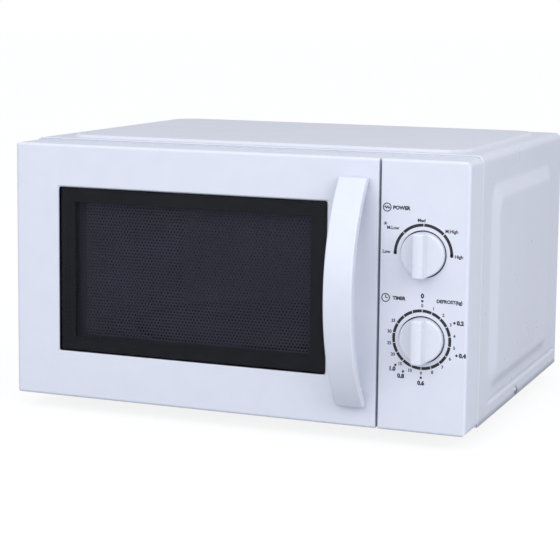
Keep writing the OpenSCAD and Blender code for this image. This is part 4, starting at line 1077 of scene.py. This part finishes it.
def punched_tree():
    tree, given, out, keys = node_tree("punched_sheet", {
        "Pitch": "Float", "Hole radius": "Float", "Columns": "Int", "Rows": "Int",
        "Thickness": "Float", "Finish": "Material"})
    cell_r = maths(tree, "DIVIDE", given["Pitch"], math.sqrt(3))
    cell = place_node(tree, "GeometryNodeMeshCircle", {"Vertices": 6, "Radius": cell_r}, fill_type="NGON")
    turned = place_node(tree, "GeometryNodeTransform", {0: cell.outputs[0], "Rotation": (0, 0, math.pi / 6)})
    inset = place_node(tree, "GeometryNodeExtrudeMesh", {"Mesh": turned.outputs[0], "Offset Scale": 0.0})
    shrink = maths(tree, "DIVIDE", given["Hole radius"], cell_r)
    small = place_node(tree, "GeometryNodeScaleElements",
                       {0: inset.outputs[0], "Selection": inset.outputs[1], "Scale": shrink})
    ring = place_node(tree, "GeometryNodeDeleteGeometry",
                      {0: small.outputs[0], "Selection": inset.outputs[1]}, domain="FACE")
    step = times(tree, given["Pitch"], row_share)
    wide = times(tree, maths(tree, "SUBTRACT", given["Columns"], 1.0), given["Pitch"])
    tall = times(tree, maths(tree, "SUBTRACT", given["Rows"], 1.0), step)
    grid = place_node(tree, "GeometryNodeMeshGrid", {
        "Size X": wide, "Size Y": tall, "Vertices X": given["Columns"], "Vertices Y": given["Rows"]})
    place = add(tree, "ShaderNodeSeparateXYZ")
    tree.links.new(add(tree, "GeometryNodeInputPosition").outputs[0], place.inputs[0])
    up = maths(tree, "ADD", place.outputs["Y"], times(tree, tall, 0.5))
    row = maths(tree, "ROUND", maths(tree, "DIVIDE", up, step))
    odd = maths(tree, "SUBTRACT", maths(tree, "FLOORED_MODULO", row, 2.0), 0.5)
    shift = times(tree, odd, times(tree, given["Pitch"], 0.5))
    stagger = place_node(tree, "GeometryNodeSetPosition",
                         {0: grid.outputs[0], "Offset": vector(tree, x=shift)})
    copies = place_node(tree, "GeometryNodeInstanceOnPoints",
                        {0: stagger.outputs[0], "Instance": ring.outputs[0]})
    real = place_node(tree, "GeometryNodeRealizeInstances", {0: copies.outputs[0]})
    one = place_node(tree, "GeometryNodeMergeByDistance", {0: real.outputs[0], "Distance": 0.02 * mm})
    end_tree(tree, slab(tree, one.outputs[0], given["Thickness"]), given["Finish"], out)
    return tree, keys


def make_screen():
    tree, keys = punched_tree()
    lo_x, hi_x = screen_lo.x + field_margin["left"], screen_hi.x - field_margin["right"]
    lo_z, hi_z = screen_lo.z + field_margin["bottom"], screen_hi.z - field_margin["top"]
    columns = int((hi_x - lo_x) / hole_pitch) + 2
    rows = int((hi_z - lo_z) / (hole_pitch * row_share)) + 2
    field = grown(tree, keys, {
        "Pitch": hole_pitch, "Hole radius": hole_size, "Columns": columns, "Rows": rows,
        "Thickness": screen_t, "Finish": finishes["screen_steel"]})
    print(f"{columns} holes in each of {rows} rows")
    middle_y = (screen_lo.y + screen_hi.y) / 2
    field.transform(Matrix.Translation(((lo_x + hi_x) / 2, middle_y + screen_t / 2, (lo_z + hi_z) / 2))
                    @ Matrix.Rotation(math.pi / 2, 4, "X"))
    outer = round_rectangle((screen_lo.x, screen_lo.z), (screen_hi.x, screen_hi.z), 1 * mm)
    inner = round_rectangle((lo_x, lo_z), (hi_x, hi_z), 3 * mm)
    margin = plate_with_window(outer, inner, screen_lo.y, screen_hi.y)
    piece("punched_screen", field, finishes["screen_steel"], "door", ["door_screen"])
    piece("screen_margin", margin, coated["margin_paint"], "door")


make_screen()

# %% [markdown]
# ## Printing on the panel
#
# The dials' scales are screen printed: a ring cut by thin ticks, numerals outside it, and a defrost
# scale in bolder figures. The ring is one arc repeated around a circle, so Geometry Nodes make it. The
# numerals are text turned into flat meshes a few hundredths of a millimetre thick, as ink is. Words and
# figures stand where a hand would look for them, so their places are kept in small tables.

# %% Rings with ticks
ink_t = 0.05 * mm
ring_r = 25.2 * mm
ring_w = 2.6 * mm
tick_gap = 1.4  # degrees


def ring_tree():
    tree, given, out, keys = node_tree("tick_ring", {
        "Radius": "Float", "Line width": "Float", "Segments": "Int", "Step": "Float", "Gap": "Float",
        "Start": "Float", "Thickness": "Float", "Finish": "Material"})
    sweep = maths(tree, "SUBTRACT", given["Step"], given["Gap"])
    arc = place_node(tree, "GeometryNodeCurveArc", {
        "Resolution": 12, "Radius": given["Radius"], "Sweep Angle": sweep,
        "Start Angle": times(tree, given["Gap"], 0.5)})
    half = times(tree, given["Line width"], 0.5)
    across = place_node(tree, "GeometryNodeCurvePrimitiveLine", {
        0: vector(tree, x=times(tree, half, -1.0)), 1: vector(tree, x=half)})
    strip = place_node(tree, "GeometryNodeCurveToMesh",
                       {0: arc.outputs[0], "Profile Curve": across.outputs[0]})
    places = place_node(tree, "GeometryNodeMeshLine", {"Count": given["Segments"]}, mode="OFFSET")
    places.inputs["Offset"].default_value = (0, 0, 0)
    index = add(tree, "GeometryNodeInputIndex").outputs[0]
    angle = maths(tree, "ADD", given["Start"], times(tree, index, given["Step"]))
    solid = slab(tree, strip.outputs[0], given["Thickness"])
    turned = place_node(tree, "GeometryNodeInstanceOnPoints", {
        0: places.outputs[0], "Instance": solid, "Rotation": vector(tree, z=angle)})
    end_tree(tree, turned.outputs[0], given["Finish"], out)
    return tree, keys


def on_panel(mesh, x, z):
    """Moves a flat mesh from the XY plane onto the panel's face."""
    mesh.transform(Matrix.Translation((x, front_y, z)) @ Matrix.Rotation(math.pi / 2, 4, "X"))
    return mesh


ring_nodes, ring_keys = ring_tree()


def tick_ring(z, segments, step, start):
    """A ring of arcs on the panel, with angles in degrees counted from the right."""
    mesh = grown(ring_nodes, ring_keys, {
        "Radius": ring_r, "Line width": ring_w, "Segments": segments, "Step": math.radians(step),
        "Gap": math.radians(tick_gap), "Start": math.radians(start), "Thickness": ink_t,
        "Finish": coated["dial_print_and_gap_shade"]})
    return on_panel(mesh, dial_x, z)


# %% Lettering, dots and lines
def label(text, x, z, height, bold=0.0):
    """Flat lettering centred on a place on the panel."""
    curve = bpy.data.curves.new("label", "FONT")
    curve.body = text
    curve.size = height / 0.7
    curve.extrude = ink_t / 2
    curve.offset = bold * height
    curve.align_x = "CENTER"
    curve.align_y = "CENTER"
    curve.resolution_u = 3
    thing = bpy.data.objects.new("label", curve)
    bpy.context.scene.collection.objects.link(thing)
    mesh = bpy.data.meshes.new_from_object(thing.evaluated_get(bpy.context.evaluated_depsgraph_get()))
    bpy.data.objects.remove(thing)
    return on_panel(cleaned(mesh, 0.002 * mm), x, z)


def circle(x, z, radius, steps):
    """Points around a place on the panel."""
    turns = [2 * math.pi * i / steps for i in range(steps)]
    return [(x + radius * math.cos(turn), z + radius * math.sin(turn)) for turn in turns]


def dot(x, z, radius):
    return prism(circle(x, z, radius, 12), front_y - ink_t, front_y, 1)


def band(x, z, outer_r, width, steps, back):
    """A flat ring whose back lies at a depth."""
    return plate_with_window(circle(x, z, outer_r, steps), circle(x, z, outer_r - width, steps),
                             back - ink_t, back)


def stroke(points, width):
    """A line of even width through points on the panel."""
    parts = []
    for (x0, z0), (x1, z1) in zip(points, points[1:]):
        along = Vector((x1 - x0, z1 - z0)).normalized() * width / 2
        side = Vector((-along.y, along.x))
        a, b = Vector((x0, z0)) - along * 0.6, Vector((x1, z1)) + along * 0.6
        parts.append(prism([tuple(a + side), tuple(a - side), tuple(b - side), tuple(b + side)],
                           front_y - ink_t, front_y, 1))
    return parts


def around(z, radius, degrees):
    """A place on a dial, with the angle counted clockwise from the top."""
    turn = math.radians(degrees)
    return dial_x + radius * math.sin(turn), z + radius * math.cos(turn)


# %% Power dial's printing
power_words = {"Med": (-2.1, 29.0), "Low": (-33.2, 0.4), "M.Low": (-27.6, 21.4), "M.High": (24.8, 20.8),
               "High": (31.6, -0.6)}
power_text = 2.8 * mm
power_dot_r = 1.6 * mm


def power_printing():
    """A half ring in four arcs with a dot at each end, and a word at each arc's end."""
    ink = [tick_ring(power_z, segments=4, step=45, start=0)]
    ink += [dot(*around(power_z, ring_r, angle), power_dot_r) for angle in (-90, 90)]
    for word, (x, z) in power_words.items():
        ink.append(label(word, dial_x + x * mm, power_z + z * mm, power_text, 0.05))
    print(len(power_words), "words on the power dial")
    return ink


# %% Timer dial's printing
minutes = "0 1 2 3 4 5 6 7 8 9 10 15 20 25 30 35".split()
minute_step = 20
minute_r, minute_text = 29.6 * mm, 2.7 * mm
zero_r, zero_dot_at, zero_text = 38.0 * mm, 33.7 * mm, 3.8 * mm
small_dot_r = 1.1 * mm
weight_r, weight_text = 33.4 * mm, 3.5 * mm
beside, below = 5.2 * mm, 4.2 * mm
weight_drop = 0.6 * mm
defrost_weights = (("0.2", 60, True), ("0.4", 110, True), ("0.6", 180, False), ("0.8", 209, False),
                   ("1.0", 224, False))


def timer_printing():
    """A full ring with its minutes, the zero above it, and a dot and a figure for each defrost weight."""
    ink = [tick_ring(timer_z, segments=18, step=minute_step, start=90)]
    for i, text in enumerate(minutes):
        ink.append(label(text, *around(timer_z, minute_r, minute_step * i), minute_text, 0.05))
    ink.append(dot(*around(timer_z, zero_dot_at, 0), small_dot_r))
    ink.append(label("0", *around(timer_z, zero_r, 0), zero_text, 0.08))
    for text, angle, to_the_right in defrost_weights:
        x, z = around(timer_z, weight_r, angle)
        ink.append(dot(x, z, small_dot_r))
        reach, turn, drop = (beside, 90, 0) if to_the_right else (below, angle, weight_drop)
        turn = math.radians(turn)
        place = (x + reach * math.sin(turn), z + reach * math.cos(turn) - drop)
        ink.append(label(text, *place, weight_text, 0.09))
    print(len(minutes), "minutes and", len(defrost_weights), "weights on the timer dial")
    return ink


# %% Headings and icons
icon_r, icon_line = 3.5 * mm, 0.85 * mm
icon_x = panel_lo.x + 5.8 * mm
power_top, timer_top = power_z + 39 * mm, timer_z + 34.6 * mm
hand_line, long_hand, short_hand = 0.8 * mm, 2.3 * mm, 1.7 * mm
wave_step, wave_rise, wave_turn = 0.55 * mm, 1.0 * mm, 1.6
flake_place, flake_arm, flake_line = (icon_x - 1.2 * mm, power_z + 25 * mm), 1.5 * mm, 0.55 * mm
headings = (("POWER", icon_x + 13.0 * mm, power_top - 0.2 * mm, 3.1 * mm, 0.08),
            ("TIMER", icon_x + 12.2 * mm, timer_top, 2.9 * mm, 0.08),
            ("DEFROST(kg)", dial_x + 24.2 * mm, timer_top - 0.2 * mm, 2.8 * mm, 0.07))


def heading_printing():
    """A wave in a ring for power, a clock for the timer, a snow crystal for defrosting, and three words."""
    ink = [band(icon_x, z, icon_r + icon_line / 2, icon_line, 24, front_y) for z in (power_top, timer_top)]
    wave = [(icon_x + t * wave_step, power_top + wave_rise * math.sin(t * wave_turn)) for t in range(-4, 5)]
    ink += stroke(wave, hand_line)
    hands = [(icon_x, timer_top + long_hand), (icon_x, timer_top), (icon_x + short_hand, timer_top)]
    ink += stroke(hands, hand_line)
    ink += [label(*heading) for heading in headings]
    for turn in (math.radians(60 * i) for i in range(3)):
        reach = Vector((math.cos(turn), math.sin(turn))) * flake_arm
        centre = Vector(flake_place)
        ink += stroke([tuple(centre - reach), tuple(centre + reach)], flake_line)
    return ink


# %% Painted shade rings in the recesses, and all the printing as one piece
recess_depth = 1.5 * mm
recess_r, gap_shade_width = 20.7 * mm, 1.6 * mm


def gap_shade_ring(z):
    """Painted shade: a black ring on the recess floor, to darken the shallow gap around the knob."""
    return band(dial_x, z, recess_r, gap_shade_width, 72, front_y + recess_depth)


# The recess rings are painted shade for the gap around each knob, which is too shallow to go dark by itself.
ink_and_gap_shade_mesh = joined("panel_printing_and_gap_shade", power_printing() + timer_printing() + heading_printing()
                  + [gap_shade_ring(power_z), gap_shade_ring(timer_z)])
piece("panel_printing_and_gap_shade", ink_and_gap_shade_mesh, coated["dial_print_and_gap_shade"], "root")

# %% [markdown]
# ## Screws
#
# The case is held by pan-head screws with a cross recess, on both sides and at the back. One screw is
# made in the tree and set at each place, turned to face out, and its recess is a real cut. Its head is
# a squashed sphere, and the two bars of the cross meet inside it, so the Boolean is told that its cutters
# overlap.

# %% Screws
def screw_tree():
    tree, given, out, keys = node_tree("pan_screws", {
        "Head radius": "Float", "Head height": "Float", "Shank": "Float", "Finish": "Material"})
    head = place_node(tree, "GeometryNodeMeshUVSphere",
                      {"Segments": 24, "Rings": 12, "Radius": given["Head radius"]})
    flat = maths(tree, "DIVIDE", given["Head height"], given["Head radius"])
    dome = place_node(tree, "GeometryNodeTransform",
                      {0: head.outputs[0], "Scale": vector(tree, 1.0, 1.0, flat)})
    arm = times(tree, given["Head radius"], 1.25)
    thin = times(tree, given["Head radius"], 0.26)
    cutters = add(tree, "GeometryNodeJoinGeometry")
    for wide, tall in ((arm, thin), (thin, arm)):
        size = vector(tree, wide, tall, given["Head height"])
        bar = place_node(tree, "GeometryNodeMeshCube", {"Size": size})
        raised = place_node(tree, "GeometryNodeTransform",
                            {0: bar.outputs[0], "Translation": vector(tree, z=given["Head height"])})
        tree.links.new(raised.outputs[0], cutters.inputs[0])
    cut = place_node(tree, "GeometryNodeMeshBoolean",
                     {0: dome.outputs[0], "Self Intersection": True}, operation="DIFFERENCE", solver="EXACT")
    tree.links.new(cutters.outputs[0], cut.inputs[1])
    shank = place_node(tree, "GeometryNodeMeshCylinder", {
        "Vertices": 16, "Radius": times(tree, given["Head radius"], 0.45), "Depth": given["Shank"]})
    sunk = place_node(tree, "GeometryNodeTransform", {
        0: shank.outputs[0], "Translation": vector(tree, z=times(tree, given["Shank"], -0.5))})
    whole = add(tree, "GeometryNodeJoinGeometry")
    tree.links.new(cut.outputs[0], whole.inputs[0])
    tree.links.new(sunk.outputs[0], whole.inputs[0])
    aim = place_node(tree, "GeometryNodeInputNamedAttribute", {"Name": "outward"}, data_type="FLOAT_VECTOR")
    turn = place_node(tree, "FunctionNodeAlignRotationToVector", {"Vector": aim.outputs[0]}, axis="Z")
    screws = place_node(tree, "GeometryNodeInstanceOnPoints", {
        0: given["Geometry"], "Instance": whole.outputs[0], "Rotation": turn.outputs[0]})
    end_tree(tree, screws.outputs[0], given["Finish"], out)
    return tree, keys


screw_nodes, screw_keys = screw_tree()


def make_screws(name, node, places):
    """Screws at places, each given with the direction that it faces."""
    start = bpy.data.meshes.new("places")
    start.from_pydata([place for place, out in places], [], [])
    outward = start.attributes.new("outward", "FLOAT_VECTOR", "POINT")
    for i, (place, out) in enumerate(places):
        outward.data[i].vector = out
    values = {"Head radius": head_r, "Head height": head_h, "Shank": shank,
              "Finish": finishes["screw_steel"]}
    mesh = grown(screw_nodes, screw_keys, values, start)
    piece(name, mesh, finishes["screw_steel"], "root", [node])


# %% Places of the screws
left_screw, right_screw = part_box("cabinet_screws")
back_lo, back_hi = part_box("rear_screws")
head_r = (right_screw.z - left_screw.z) / 2
head_h = right_screw.x - side_x
shank = 6 * mm
print(f"screw heads {head_r / mm:.1f} mm in radius, {head_h / mm:.1f} mm high")

side_y, side_z = (left_screw.y + right_screw.y) / 2, (left_screw.z + right_screw.z) / 2
make_screws("side_screws", "cabinet_screws", [((s * side_x, side_y, side_z), (s, 0, 0)) for s in (-1, 1)])

corner_x = back_hi.x - head_r
low_corner_z, high_corner_z = back_lo.z + head_r, 0.212
upper_x, upper_z = 0.12, back_hi.z - head_r
back_points = [(x, z) for x in (-corner_x, corner_x) for z in (low_corner_z, high_corner_z)]
back_points += [(x, upper_z) for x in (-upper_x, upper_x)]
make_screws("back_screws", "rear_screws", [((x, case_hi.y, z), (0, 1, 0)) for x, z in back_points])

# %% [markdown]
# ## The floor
#
# The oven stands on pale card that runs far past the frame. A floor lit only by the lamps would go grey
# towards the back, so to the camera it also glows a little. The oven is still lit by plain card, because
# the glow is mixed in for camera rays alone.

# %% The floor
floor_half = 20.0
glow_strength, glow_share = 1.2, 0.72


def make_floor():
    mesh = bpy.data.meshes.new("floor")
    far = floor_half
    mesh.from_pydata([(-far, -far, 0), (far, -far, 0), (far, far, 0), (-far, far, 0)], [], [(0, 1, 2, 3)])
    floor = bpy.data.objects.new("floor", mesh)
    bpy.context.scene.collection.objects.link(floor)
    material, tree, shader, where = start_finish("floor_card", specular=0.2)
    tone = ramp(tree, noise(tree, where, 3.0), 0.3, 0.7, 0.985, 1.0)
    colour = blend_colour(tree, 1.0, srgb(188, 189, 192), tone, "MULTIPLY")
    tree.links.new(colour, shader.inputs["Base Color"])
    shader.inputs["Roughness"].default_value = 0.9
    glow = add(tree, "ShaderNodeEmission")
    glow.inputs["Strength"].default_value = glow_strength
    seen = add(tree, "ShaderNodeLightPath").outputs["Is Camera Ray"]
    mix = place_node(tree, "ShaderNodeMixShader", {
        0: times(tree, seen, glow_share), 1: shader.outputs[0], 2: glow.outputs[0]})
    tree.links.new(mix.outputs[0], tree.nodes["Material Output"].inputs["Surface"])
    mesh.materials.append(material)


make_floor()
